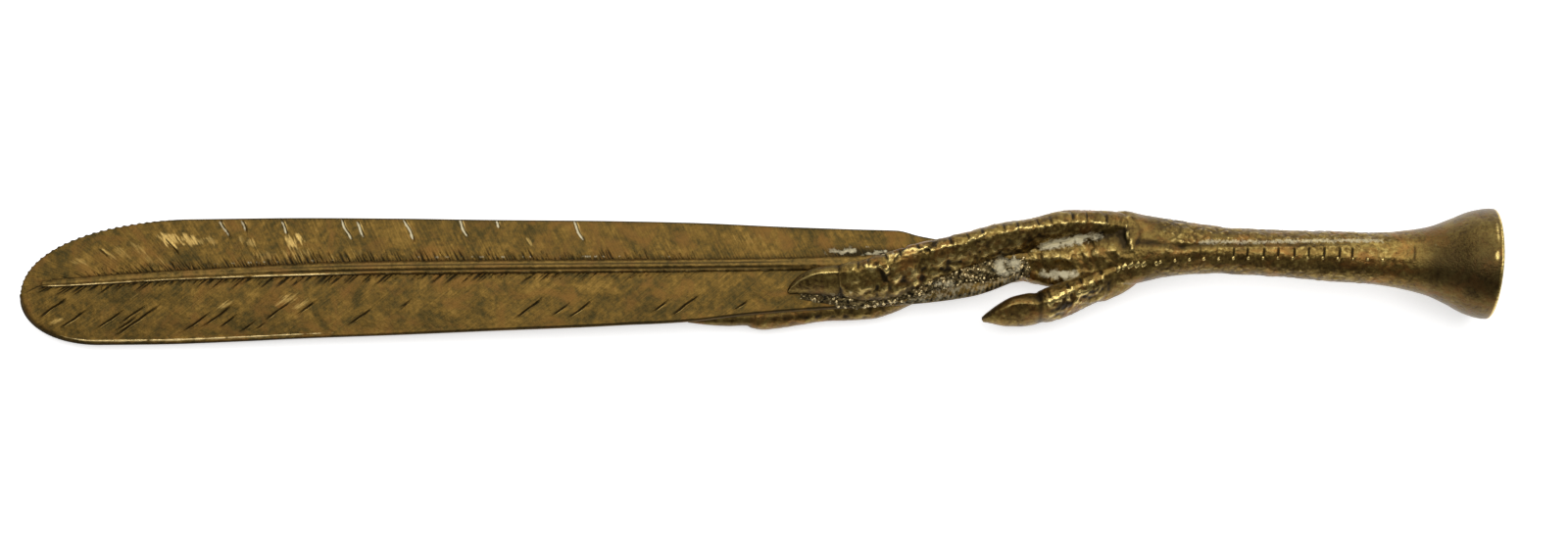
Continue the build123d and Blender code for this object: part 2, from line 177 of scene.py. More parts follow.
def aged_brass(name, tones, stain, gold, dark, matte, polish, cloud, pitted, threads=None):
    """Cast brass under a patina: clouded and stained tones, gold metal where rubbed and where highlights are painted,
    dark where dirt and patina sit and where shade is painted, and dried residue.
    """
    finish = bpy.data.materials.new(name)
    finish.use_nodes = True
    tree = finish.node_tree
    brass = tree.nodes["Principled BSDF"]

    def plus(a, b):
        return node_out(tree, "ShaderNodeMath", {0: a, 1: b}, operation="ADD")

    def times(a, b):
        return node_out(tree, "ShaderNodeMath", {0: a, 1: b}, operation="MULTIPLY")

    def blend(share, a, b):
        return add_node(tree, "ShaderNodeMix", {0: share, 6: a, 7: b}, data_type="RGBA").outputs[2]

    def spread(value, low, high, to_low=0.0, to_high=1.0):
        sizes = {0: value, 1: low, 2: high, 3: to_low, 4: to_high}
        return node_out(tree, "ShaderNodeMapRange", sizes)

    def mark(attribute):
        return add_node(tree, "ShaderNodeAttribute", attribute_name=attribute).outputs["Fac"]

    def clouding(scale, detail, distortion=0.0):
        sizes = {"Vector": place, "Scale": scale, "Detail": detail, "Roughness": 0.64, "Distortion": distortion}
        return add_node(tree, "ShaderNodeTexNoise", sizes).outputs["Fac"]

    place = add_node(tree, "ShaderNodeTexCoord").outputs["Object"]
    clouds, stains = clouding(cloud, 6.0, 0.8), clouding(cloud * 0.7, 5.0, 1.2)
    specks, pits = clouding(cloud * 5, 3.0), clouding(PIT_SCALE, 3.0)
    streaks = specks
    if threads:
        along = add_node(tree, "ShaderNodeUVMap", uv_map="barbs").outputs["UV"]
        along = node_out(tree, "ShaderNodeMapping", {"Vector": along, "Scale": threads})
        sizes = {"Vector": along, "Scale": 1.0, "Detail": 4.0, "Roughness": 0.65}
        streaks = add_node(tree, "ShaderNodeTexNoise", sizes, noise_dimensions="2D").outputs["Fac"]
    shade = plus(plus(times(clouds, 0.41), times(streaks, 0.2)), times(specks, 0.39))
    ramp = add_node(tree, "ShaderNodeValToRGB", {"Fac": shade})
    for _ in range(len(tones) - 2):
        ramp.color_ramp.elements.new(0.5)
    for stop, (position, *tone) in zip(ramp.color_ramp.elements, tones):
        stop.position, stop.color = position, (*tone, 1)
    # gold blend: metal rubbed bare, and painted highlights on crests, rims and edges
    bare_and_highlight = spread(plus(mark("worn"), times(streaks, 0.8)), 0.62, 1.15)
    # dark blend: dirt and patina in hollows, and painted shade on brows, undersides, the bell and edges
    grime_and_shade_blend = spread(plus(mark("grime_and_shade"), times(specks, 0.35)), 0.3, 0.95)
    dried = spread(plus(mark("residue"), plus(times(specks, 0.9), times(pits, 0.5))), 0.97, 1.5)
    colour = blend(spread(stains, 0.5, 0.66, 0.0, 0.75), ramp.outputs["Color"], (*stain, 1))
    colour = blend(bare_and_highlight, colour, (*gold, 1))
    colour = blend(grime_and_shade_blend, colour, (*dark, 1))
    colour = blend(dried, colour, DRIED_FLUX)
    tree.links.new(colour, brass.inputs["Base Color"])
    metal = times(spread(dried, 0, 1, 1, 0), spread(bare_and_highlight, 0, 1, 0.9, 1))
    tree.links.new(metal, brass.inputs["Metallic"])
    gloss = plus(spread(bare_and_highlight, 0, 1, matte, polish), spread(specks, 0.3, 0.7, -0.06, 0.06))
    gloss = plus(plus(gloss, times(grime_and_shade_blend, 0.12)), times(dried, 0.4))
    tree.links.new(gloss, brass.inputs["Roughness"])
    relief = {"Height": plus(times(pits, 0.5), specks), "Strength": pitted, "Distance": 0.0002}
    tree.links.new(node_out(tree, "ShaderNodeBump", relief), brass.inputs["Normal"])
    return finish


feather_patina = aged_brass(
    "feather_patina",
    tones=(
        (0.39, 0.045, 0.033, 0.0085), (0.47, 0.091, 0.057, 0.0128),
        (0.53, 0.140, 0.082, 0.0162), (0.62, 0.246, 0.145, 0.031),
    ),
    stain=(0.176, 0.086, 0.019), gold=(0.40, 0.268, 0.084), dark=(0.028, 0.020, 0.007),
    matte=0.48, polish=0.36, cloud=200.0, pitted=0.4, threads=(26.0, 1.3, 1.0),
)

SHAFT_X = (4.0, 29.4, 64.0, 129.75, 173.0, 189.0)
SHAFT_Y = (-3.0, -1.5, -0.4, 0.0, 1.4, 2.2)
BARB_PITCH = 0.55
COLUMNS_PER_BARB = 4
BARB_STEP = 0.2
LONGEST_BARB = 26.0
foot_x = np.arange(SHAFT_X[0], 173.0, BARB_PITCH / COLUMNS_PER_BARB)
foot_y = flow(SHAFT_X, SHAFT_Y, foot_x)


def narrow_edge(x):
    """Outline of the narrow vane: an elliptic tip, then a long edge that runs in to the quill."""
    tip = -5 + 13.3 * kept(1 - kept((31 - x) / 31) ** 2.15) ** 0.47
    edge = (
        (31, 8.3), (48, 8.45), (65, 8.3), (82, 8.0), (99, 7.8), (116, 7.4),
        (133, 6.6), (146, 6.1), (152, 5.9), (156, 4.9), (173, 1.98),
    )
    return np.where(x < 31, tip, flow(*zip(*edge), x))


def wide_edge(x):
    """Outline of the wide vane: a rounder tip, then an edge that narrows to the grip."""
    tip = -5 - 8.55 * kept(1 - kept((14 - x) / 14) ** 2.1) ** 0.47
    edge = (
        (14, -13.55), (25, -13.45), (38, -13.0), (49, -12.5), (66, -11.9), (82, -11.25), (99, -10.6), (106, -10.25),
        (110, -10.1), (116, -9.75), (126, -8.65), (137, -7.8), (150, -7.1), (157.5, -6.5), (165, -5.4), (173, -2.6),
    )
    return np.where(x < 14, tip, flow(*zip(*edge), x))


def vane_face(y):
    """Height of the crowned vane over its middle plane."""
    return 0.95 - 0.5 * ((y + 2.8) / 11) ** 2


def barb_rows(side, lean, bend, bevel, rows):
    """Points along every barb from the shaft to the vane's edge: places and distance run."""
    bend = bend * kept((foot_x - 4) / 25)
    path = [np.stack([foot_x, foot_y], -1)]
    for step in range(round(LONGEST_BARB / BARB_STEP)):
        heading = np.radians(lean - bend * step * BARB_STEP)
        path.append(path[-1] + BARB_STEP * np.stack([-np.cos(heading), side * np.sin(heading)], -1))
    path = np.array(path)

    def room(p):
        edge = narrow_edge(p[..., 0]) if side > 0 else wide_edge(p[..., 0])
        return np.where(p[..., 0] > 0.06, side * (edge - p[..., 1]), -1)

    out = np.maximum(np.argmax(room(path) <= 0, 0), 1)
    columns = np.arange(len(foot_x))
    near, far = np.zeros(len(foot_x)), np.ones(len(foot_x))
    for _ in range(24):
        half = (near + far) / 2
        point = path[out - 1, columns] * (1 - half)[:, None] + path[out, columns] * half[:, None]
        inside = room(point) > 0
        near, far = np.where(inside, half, near), np.where(inside, far, half)
    reach = (out - 1 + near) * BARB_STEP
    share = np.linspace(0, 1, rows - 2) ** 1.1
    bevel = np.minimum(bevel, 0.25 * reach)
    run = np.vstack([share[:, None] * (reach - 1.6 * bevel), reach - bevel, reach])
    cell = np.minimum((run / BARB_STEP).astype(int), len(path) - 2)
    part = (run / BARB_STEP - cell)[..., None]
    return path[cell, columns] * (1 - part) + path[cell + 1, columns] * part, run


FRONT_ROWS, BACK_ROWS = 26, 11
NARROW_BEND, WIDE_BEND = -0.3, 0.55
NARROW_BEVEL = 0.3
wide_bevel = flow((0, 5, 9, 45, 62, 90, 173), (0.3, 0.5, 0.8, 0.8, 0.5, 0.6, 0.6), foot_x)
narrow_lean = flow((4, 8, 16, 30, 50, 160, 173), (-26.565, 4, 28, 48, 61, 61, 78), foot_x)
wide_lean = flow((4, 14, 40, 150, 173), (26.565, 37, 43, 43, 90), foot_x)
narrow, narrow_run = barb_rows(1, narrow_lean, NARROW_BEND, NARROW_BEVEL, FRONT_ROWS)
wide, wide_run = barb_rows(-1, wide_lean, WIDE_BEND, wide_bevel, FRONT_ROWS)
narrow_back, narrow_back_run = barb_rows(1, narrow_lean, NARROW_BEND, NARROW_BEVEL, BACK_ROWS)
wide_back, wide_back_run = barb_rows(-1, wide_lean, WIDE_BEND, wide_bevel, BACK_ROWS)
wide[:, 0], wide_back[:, 0] = narrow[:, 0], narrow_back[:, 0]

# barb ends stand out as fine teeth round the narrow vane's tip
teeth = 0.17 * (np.cos(np.pi * foot_x / BARB_PITCH) - 1) * flow((4, 8, 24, 36, 173), (0, 1, 1, 0, 0), foot_x)
for vane in (narrow, narrow_back):
    way_out = vane[-1] - vane[-2]
    vane[-1] += way_out / np.linalg.norm(way_out, axis=-1, keepdims=True) * teeth[:, None]

# cuts and slits as places across the vane with their length
WIDE_CUTS = (
    (5.7, -7.4, 5.8), (9.5, -9.1, 5.1), (15.9, -9.3, 4.9), (18.8, -9.8, 4.0), (20.7, -9.3, 9.6), (19.8, -8.2, 4.6),
    (31.0, -9.5, 5.2), (34.8, -8.4, 5.9), (36.5, -9.6, 3.0), (39.8, -10.7, 2.2), (42.1, -10.5, 1.4), (45.0, -7.9, 5.2),
    (50.1, -7.2, 3.0), (59.3, -9.0, 4.6), (67.3, -6.7, 1.8), (88.5, -7.6, 5.3), (94.1, -7.9, 2.9), (97.5, -7.6, 4.4),
    (111.3, -7.3, 3.0), (115.5, -6.8, 5.6), (125.1, -7.1, 2.0),
)
NARROW_SLITS = (
    (35.4, 6.5, 3.6), (38.7, 7.1, 2.4), (45.9, 6.7, 3.0), (56.7, 6.4, 4.4), (59.1, 6.5, 3.3), (67.6, 6.2, 4.8),
    (77.0, 6.6, 3.8), (83.0, 7.1, 1.5), (97.0, 6.1, 4.4), (26.5, 3.4, 3.4), (14.5, 2.4, 2.2),
)


def nearest_barb(vane, x, y):
    """Row and column of the point on a vane's barbs that is nearest to a place."""
    return np.unravel_index(np.argmin(np.sum((vane - (x, y)) ** 2, -1)), vane.shape[:2])


def parted(cuts, vane, run, width):
    """Depth from 0 to 1 of the cuts between barbs, and the burr thrown up along one lip of each."""
    depth, lip = np.zeros(run.shape), np.zeros(run.shape)
    for x, y, length in cuts:
        row, column = nearest_barb(vane, x, y)
        off = (foot_x - foot_x[column] + 0.12 * np.sin(run * 1.7 + x)) / width
        along = (run - run[row, column]) / (0.5 * length)
        window = kept(1.6 * (1 - along**2))
        depth = np.maximum(depth, hump(off, 0, 1) * window)
        lip = np.maximum(lip, hump(off, 2.0, 0.8) * window * kept(0.7 + 0.8 * along))
    return depth, lip


def ticked(run, pitch, width, reach, seed):
    """Short cuts that start at the shaft, of uneven length and depth."""
    place = (foot_x + 0.25 * np.sin(foot_x * 1.9)) / pitch
    chance = lattice(np.stack([np.floor(place).astype(np.int64)] * 3, -1), seed)
    off = (place - np.floor(place) - 0.5) * pitch
    window = 1 - kept((run - 0.8) / (reach * (0.35 + chance))) ** 3
    return hump(off, 0, width) * window * kept(run / 0.8) * (0.5 + 0.5 * chance)


# bare patches as places across the vane, with their breadth, their length along the barbs and how bare they are;
# the two broad faint ones on the wide vane's lower tip, at x 11.5 and 20.0, are partly wear and partly painted light
# that brightens that slope
GOLD_PATCHES = (
    (26.2, 4.5, 1.5, 1.5, 1.0), (29.5, 4.6, 0.9, 1.3, 0.9), (31.5, 4.5, 0.6, 1.0, 0.75), (33.2, 4.3, 0.7, 0.9, 0.65),
    (40.2, 4.3, 0.8, 0.9, 0.6), (38.8, 4.4, 0.5, 0.9, 0.5), (46.9, 4.5, 1.0, 1.3, 1.0), (48.6, 4.6, 0.8, 1.2, 0.95),
    (20.4, 3.2, 0.7, 1.6, 0.5), (18.0, 2.4, 0.7, 1.6, 0.45), (15.4, 2.0, 0.7, 1.5, 0.5), (10.4, 1.0, 1.2, 1.4, 0.45),
    (22.4, 1.4, 0.5, 1.2, 0.5), (24.3, 1.0, 0.5, 1.2, 0.4), (43.0, 1.9, 3.0, 1.6, 0.42), (49.0, 2.1, 3.2, 1.5, 0.42),
    (57.0, 1.9, 4.0, 1.4, 0.3), (88.5, 4.2, 0.4, 0.9, 0.75), (126.0, 4.6, 3.0, 1.2, 0.3), (6.7, -9.6, 0.9, 1.0, 0.7),
    (11.5, -9.0, 4.0, 2.6, 0.2), (12.0, -6.4, 0.8, 0.9, 0.3), (20.0, -5.4, 0.7, 0.8, 0.35),
    (20.0, -9.5, 5.0, 2.4, 0.2), (36.0, -6.4, 0.9, 1.2, 0.62), (46.6, -5.6, 1.6, 1.6, 0.66),
    (49.2, -6.6, 0.8, 1.6, 0.6), (56.0, -7.8, 0.8, 1.6, 0.4), (72.0, -5.0, 2.0, 1.4, 0.25),
    (110.0, -5.2, 2.5, 1.5, 0.25),
)
LIP_HEIGHT, CUT_DEPTH, TICK_DEPTH, VALLEY_DEPTH = 0.07, 0.30, 0.16, 0.16
wave = np.cos(2 * np.pi * foot_x / BARB_PITCH)
from_tip = np.minimum(1, np.arange(len(foot_x)) / 8)
faces, marks = [], {"worn": [], "grime_and_shade": [], "residue": []}
for vane, run, side in ((narrow, narrow_run, 1), (wide, wide_run, -1)):
    on_narrow, on_wide = side > 0, side < 0
    flat = np.concatenate([vane, np.zeros(run.shape + (1,))], -1)
    plain_face = vane_face(vane[..., 1])
    uneven = casting_noise(flat, 3.2, 11)
    row_from_rim = len(run) - 1 - np.arange(len(run))[:, None]
    rim = row_from_rim == 0
    if on_narrow:
        cuts, lips = parted(NARROW_SLITS, vane, run, 0.22)
        ticks = ticked(run, 0.62, 0.17, 2.4, 5) * np.clip((120 - foot_x) / 20, 0.25, 1)
        barbs = wave * (0.012 + 0.05 * np.exp(-run / 2.0))
        burr = dark_edge = barred = 0 * foot_x
    else:
        cuts, lips = parted(WIDE_CUTS, vane, run, 0.17)
        ticks = 1.3 * ticked(run, 0.95, 0.19, 2.9, 9) * np.clip((118 - foot_x) / 30, 0.2, 1)
        barbs = wave * (0.012 + 0.08 * kept((foot_x - 150) / 10))
        burr = flow((0, 6, 9, 13, 42, 50, 60, 173), (0, 0, 0.4, 1, 1, 0.5, 0.2, 0), vane[-1, :, 0])
        dark_edge, barred = kept((foot_x - 75) / 25), kept((foot_x - 153) / 6)
    # relief: barbs, cuts with their lips, ticks beside the shaft, and the bevel down to the rim
    valley = np.exp(-np.clip(run - 0.9, 0, None) / 0.45)
    height = plain_face + 0.045 * uneven + barbs * (0.7 + 0.3 * uneven)
    height += LIP_HEIGHT * lips - CUT_DEPTH * cuts - TICK_DEPTH * ticks - VALLEY_DEPTH * valley
    height = np.where(rim, 0.55 * plain_face, height)
    height = plain_face * (1 - from_tip) + height * from_tip + 0.1 * burr * (row_from_rim == 1)
    faces.append(np.concatenate([vane, height[..., None]], -1))

    # bare metal: the filed bevel, rubbed and carrying a painted highlight, the patches, the barbs beside the shaft and
    # the lips of the cuts
    worn = 0.3 * burr * (row_from_rim == 2)
    ragged = casting_noise(np.stack(np.broadcast_arrays(foot_x * 3.2, run * 0.9, side + 0 * run), -1), 1.0, 15)
    for x, y, breadth, length, strength in GOLD_PATCHES:
        row, column = nearest_barb(vane, x, y)
        if np.sum((vane[row, column] - (x, y)) ** 2) < 0.2:
            off = ((foot_x - foot_x[column]) / breadth) ** 2 + ((run - run[row, column]) / length) ** 2
            worn = np.maximum(worn, 0.72 * strength * kept(1.25 - 0.8 * off + 0.8 * ragged))
    worn = np.maximum(worn, 0.38 * on_narrow * np.exp(-run / 1.6) * (wave > 0.5)) + 0.8 * lips
    marks["worn"].append(worn)

    # grime in the cuts, beside the shaft and beside the front toe, and painted shade along the edge and on its rim
    # painted shade: darker toward the edge and on the rim, and from x 75 on, on the row inside the rim
    edging = 0.3 * np.exp(-(run[-1] - run) / 0.9) + 0.5 * rim * (1 - dark_edge)
    edging = edging + 0.5 * dark_edge * (run > run[-2] - 0.01) * ~rim
    beside_toe = hump(vane[..., 0], 146, 7, 4) * hump(vane[..., 1], 2.2, 1.0)
    grime_and_edge_shade = cuts * on_wide + ticks + 0.8 * valley + edging + 0.6 * beside_toe
    grime_and_edge_shade = grime_and_edge_shade - wave * (0.25 * np.exp(-run / 2) + 0.45 * barred)
    marks["grime_and_shade"].append(kept(grime_and_edge_shade) * (worn < 0.8))

    # dried flux: in the narrow vane's slits, between the barbs at the quill, beside the front toe and the shaft
    pale_slits = cuts * on_narrow * (vane[..., 1] > 4.4) * np.clip(foot_x / 60, 0.8, 1.1)
    flux = 0.72 * beside_toe * kept(0.3 + 1.2 * casting_noise(flat * (0.6, 1, 1), 0.45, 62))
    flecks = kept(2.4 * casting_noise(flat, 0.6, 64) - 0.3) * flow((30, 40, 108, 118), (0, 1, 1, 0), foot_x)
    flecks = 0.6 * on_narrow * flecks * hump(run, 1.95, 0.22)
    marks["residue"].append(pale_slits + 0.33 * barred + flux + flecks)

backs = []
for vane in (narrow_back, wide_back):
    plain_face = vane_face(vane[..., 1])
    uneven = casting_noise(np.concatenate([vane, np.ones(vane.shape[:2] + (1,))], -1), 3.2, 12)
    depth = plain_face + 0.05 * uneven + 0.03 * wave
    depth[-1] = 0.45 * plain_face[-1]
    depth[:, 0] = plain_face[:, 0]
    backs.append(np.concatenate([vane, -depth[..., None]], -1))


def all_round(front_narrow, back_narrow, back_wide, front_wide):
    """One ring per barb foot: narrow vane out and back under, wide vane out under and back over."""
    ring = np.concatenate([front_narrow, back_narrow[::-1], back_wide[1:], front_wide[:0:-1]])
    return np.swapaxes(ring, 0, 1)


threads = [
    np.stack(np.broadcast_arrays(foot_x / 10, run / 10), -1)
    for run in (narrow_run, narrow_back_run, -wide_back_run, -wide_run)
]
vane_marks = {}
for mark, (front_narrow, front_wide) in marks.items():
    back = np.full(backs[0].shape[:2], 0.1 if mark == "grime_and_shade" else 0.0)
    vane_marks[mark] = all_round(front_narrow, back, back, front_wide)
vanes = skin_piece(
    "feather_vanes",
    all_round(faces[0], backs[0], backs[1], faces[1]),
    feather_patina,
    vane_marks,
    threads=all_round(*threads),
    flat_end=True,
)
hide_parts("feather_blade")
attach(vanes, "root")

# Feather shaft and quill: the raised rib that the barbs spring from, cast with the vanes. It is ridged along its
# length, bright along its lower shoulder near the tip with a painted highlight on rubbed metal, and its round end
# lies in the palm of the foot.


def limb_rings(stations, step=0.2, around=84, crested=False):
    """Rings of a limb along its stations (x, y, z, width, thickness, lean of its crest), with its own frame."""
    stations = np.array(stations, float)
    chord = np.r_[0, np.cumsum(np.linalg.norm(np.diff(stations[:, :3], axis=0), axis=1))]
    run = np.linspace(0, chord[-1], int(chord[-1] / step) + 1)
    core = flow(chord, stations[:, :3], run)
    wide, thick, lean = flow(chord, stations[:, 3:], run).T
    ahead = np.gradient(core, run, axis=0)
    ahead /= np.linalg.norm(ahead, axis=1, keepdims=True)
    across = np.cross(ahead, (0, 0, 1))
    across /= np.linalg.norm(across, axis=1, keepdims=True)
    up = np.cross(across, ahead)
    turn = np.linspace(0, 2 * np.pi, around, endpoint=False)
    side = np.cos(turn) + lean[:, None] * np.sin(turn) * np.maximum(np.sin(turn), 0)
    rise = np.sin(turn) * np.ones_like(side)
    if crested:
        steep = 1 - np.abs(np.sin(turn))
        flank, brow, below = 1 - 1.8 * steep**0.8, 1 - steep**0.8, -1 + 0.2 * steep
        quarter = np.floor(turn / (np.pi / 2)).astype(int)
        rise = np.choose(quarter, [brow, flank, below, np.sin(turn)]) * np.ones_like(side)
    limb = {"run": run, "turn": turn, "core": core, "wide": wide, "thick": thick, "across": across, "up": up}
    limb["rings"] = (
        core[:, None]
        + across[:, None] * (wide[:, None] / 2 * side)[..., None]
        + up[:, None] * (thick[:, None] / 2 * rise)[..., None]
    )
    return limb


def outward(rings):
    """Direction square to a limb's skin, away from its core."""
    along = np.gradient(rings, axis=0)
    around = np.roll(rings, -1, 1) - np.roll(rings, 1, 1)
    square = np.cross(along, around)
    square /= np.linalg.norm(square, axis=-1, keepdims=True) + 1e-12
    away = np.sum(square * (rings - rings.mean(1, keepdims=True)), -1, keepdims=True)
    return square * np.where(away.mean(1, keepdims=True) < 0, -1, 1)


RIB_X = (4.0, 9.0, 29.4, 64.0, 129.75, 173.0, 189.0)
SHAFT_WIDTH = (1.1, 1.7, 2.0, 2.7, 2.7, 3.2, 2.64)
SHAFT_DEPTH = (1.3, 1.4, 1.6, 1.9, 2.3, 2.9, 2.64)
shaft = limb_rings(
    [
        (x, flow(SHAFT_X, SHAFT_Y, x), max(0.0, 1.4 - deep / 2), width, deep, 0)
        for x, width, deep in list(zip(RIB_X, SHAFT_WIDTH, SHAFT_DEPTH))[::-1]
    ],
    step=0.25,
    around=72,
)
along_shaft, turn = shaft["core"][:, :1], shaft["turn"]
grooved = kept((along_shaft - 34) / 20) * kept((140 - along_shaft) / 12)
ridges = np.cos(9 * (turn - np.pi / 2)) * hump(turn, np.pi / 2, 0.75)
shoulder = hump(turn, 2.3, 0.13) * np.clip((66 - along_shaft) / 15, 0.25, 1)
shaft_noise = casting_noise(shaft["rings"], 1.6, 21)
shaft_lift = 0.075 * ridges * grooved + 0.03 * shaft_noise + 0.14 * shoulder
# the gold here is bright, to paint the highlights on the shaft's lower shoulder and on the filed edge
shaft_finish = aged_brass(
    "shaft_patina",
    tones=(
        (0.36, 0.052, 0.037, 0.010), (0.46, 0.114, 0.072, 0.018),
        (0.55, 0.178, 0.108, 0.025), (0.66, 0.262, 0.160, 0.040),
    ),
    stain=(0.180, 0.094, 0.024), gold=(0.72, 0.54, 0.24), dark=(0.026, 0.019, 0.007),
    matte=0.44, polish=0.30, cloud=240.0, pitted=0.4,
)
shaft_piece = skin_piece(
    "feather_shaft",
    shaft["rings"] + outward(shaft["rings"]) * shaft_lift[..., None],
    shaft_finish,
    {
        # painted highlight along the lower shoulder near the tip, over rubbed metal
        "worn": 1.3 * shoulder * (0.66 + 0.6 * shaft_noise) + 0.12 * kept(ridges) * grooved,
        "grime_and_shade": kept(-0.8 * ridges * grooved),
        "residue": 0.0,
    },
)
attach(shaft_piece, "root")

# Filed edge: the burr that the file left along the wide vane's bevel behind the tip, rubbed bright and carrying a
# painted highlight. It is a thin bead along the bevel's upper side, broken here and there.

EDGE_INSET = 0.72
edge_x = np.linspace(55, 7, 70)
slope = np.gradient(wide_edge(edge_x), edge_x)
inward = np.stack([-slope, 1 + 0 * slope], -1) / np.hypot(slope, 1)[:, None]
edge_line = np.stack([edge_x, wide_edge(edge_x)], -1) + EDGE_INSET * inward
edge_width = flow((7, 10, 14, 40, 46, 55), (0.06, 0.2, 0.32, 0.32, 0.24, 0.06), edge_x)
filed_edge = limb_rings(
    [(x, y, vane_face(y) + 0.06, width, 0.4, 0) for (x, y), width in zip(edge_line, edge_width)], step=0.2, around=16
)
edge_breaks = casting_noise(np.stack([filed_edge["run"] / 1.7] * 3, -1), 1.0, 75)[:, None]
edge_bead = skin_piece(
    "filed_edge",
    filed_edge["rings"] + outward(filed_edge["rings"]) * (0.05 * edge_breaks)[..., None],
    shaft_finish,
    {"worn": 1.3 + 0.9 * edge_breaks, "grime_and_shade": 0.0, "residue": 0.0},
)
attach(edge_bead, "root")

# Barbs beside the shaft: short raised barbs that the modeller left standing where they spring from the shaft.
# Each row is laid on the vane by one tree, which also lays the burrs of the foot further down. The tree works on
# the desk, so the sizes of its tiles are in metres.


def empty_tree(name, takes, sizes, gives):
    """A tree with one geometry in and one out, and named inputs for its sizes."""
    tree = bpy.data.node_groups.new(name, "GeometryNodeTree")
    tree.interface.new_socket(takes, in_out="INPUT", socket_type="NodeSocketGeometry")
    for kind, names in sizes.items():
        for size in names:
            tree.interface.new_socket(size, in_out="INPUT", socket_type="NodeSocket" + kind)
    tree.interface.new_socket(gives, in_out="OUTPUT", socket_type="NodeSocketGeometry")
    return tree, add_node(tree, "NodeGroupInput").outputs


TILE_EDGE_SUNK = 0.00002
DROP_HEIGHT, DROP_REACH = 0.03, 0.08


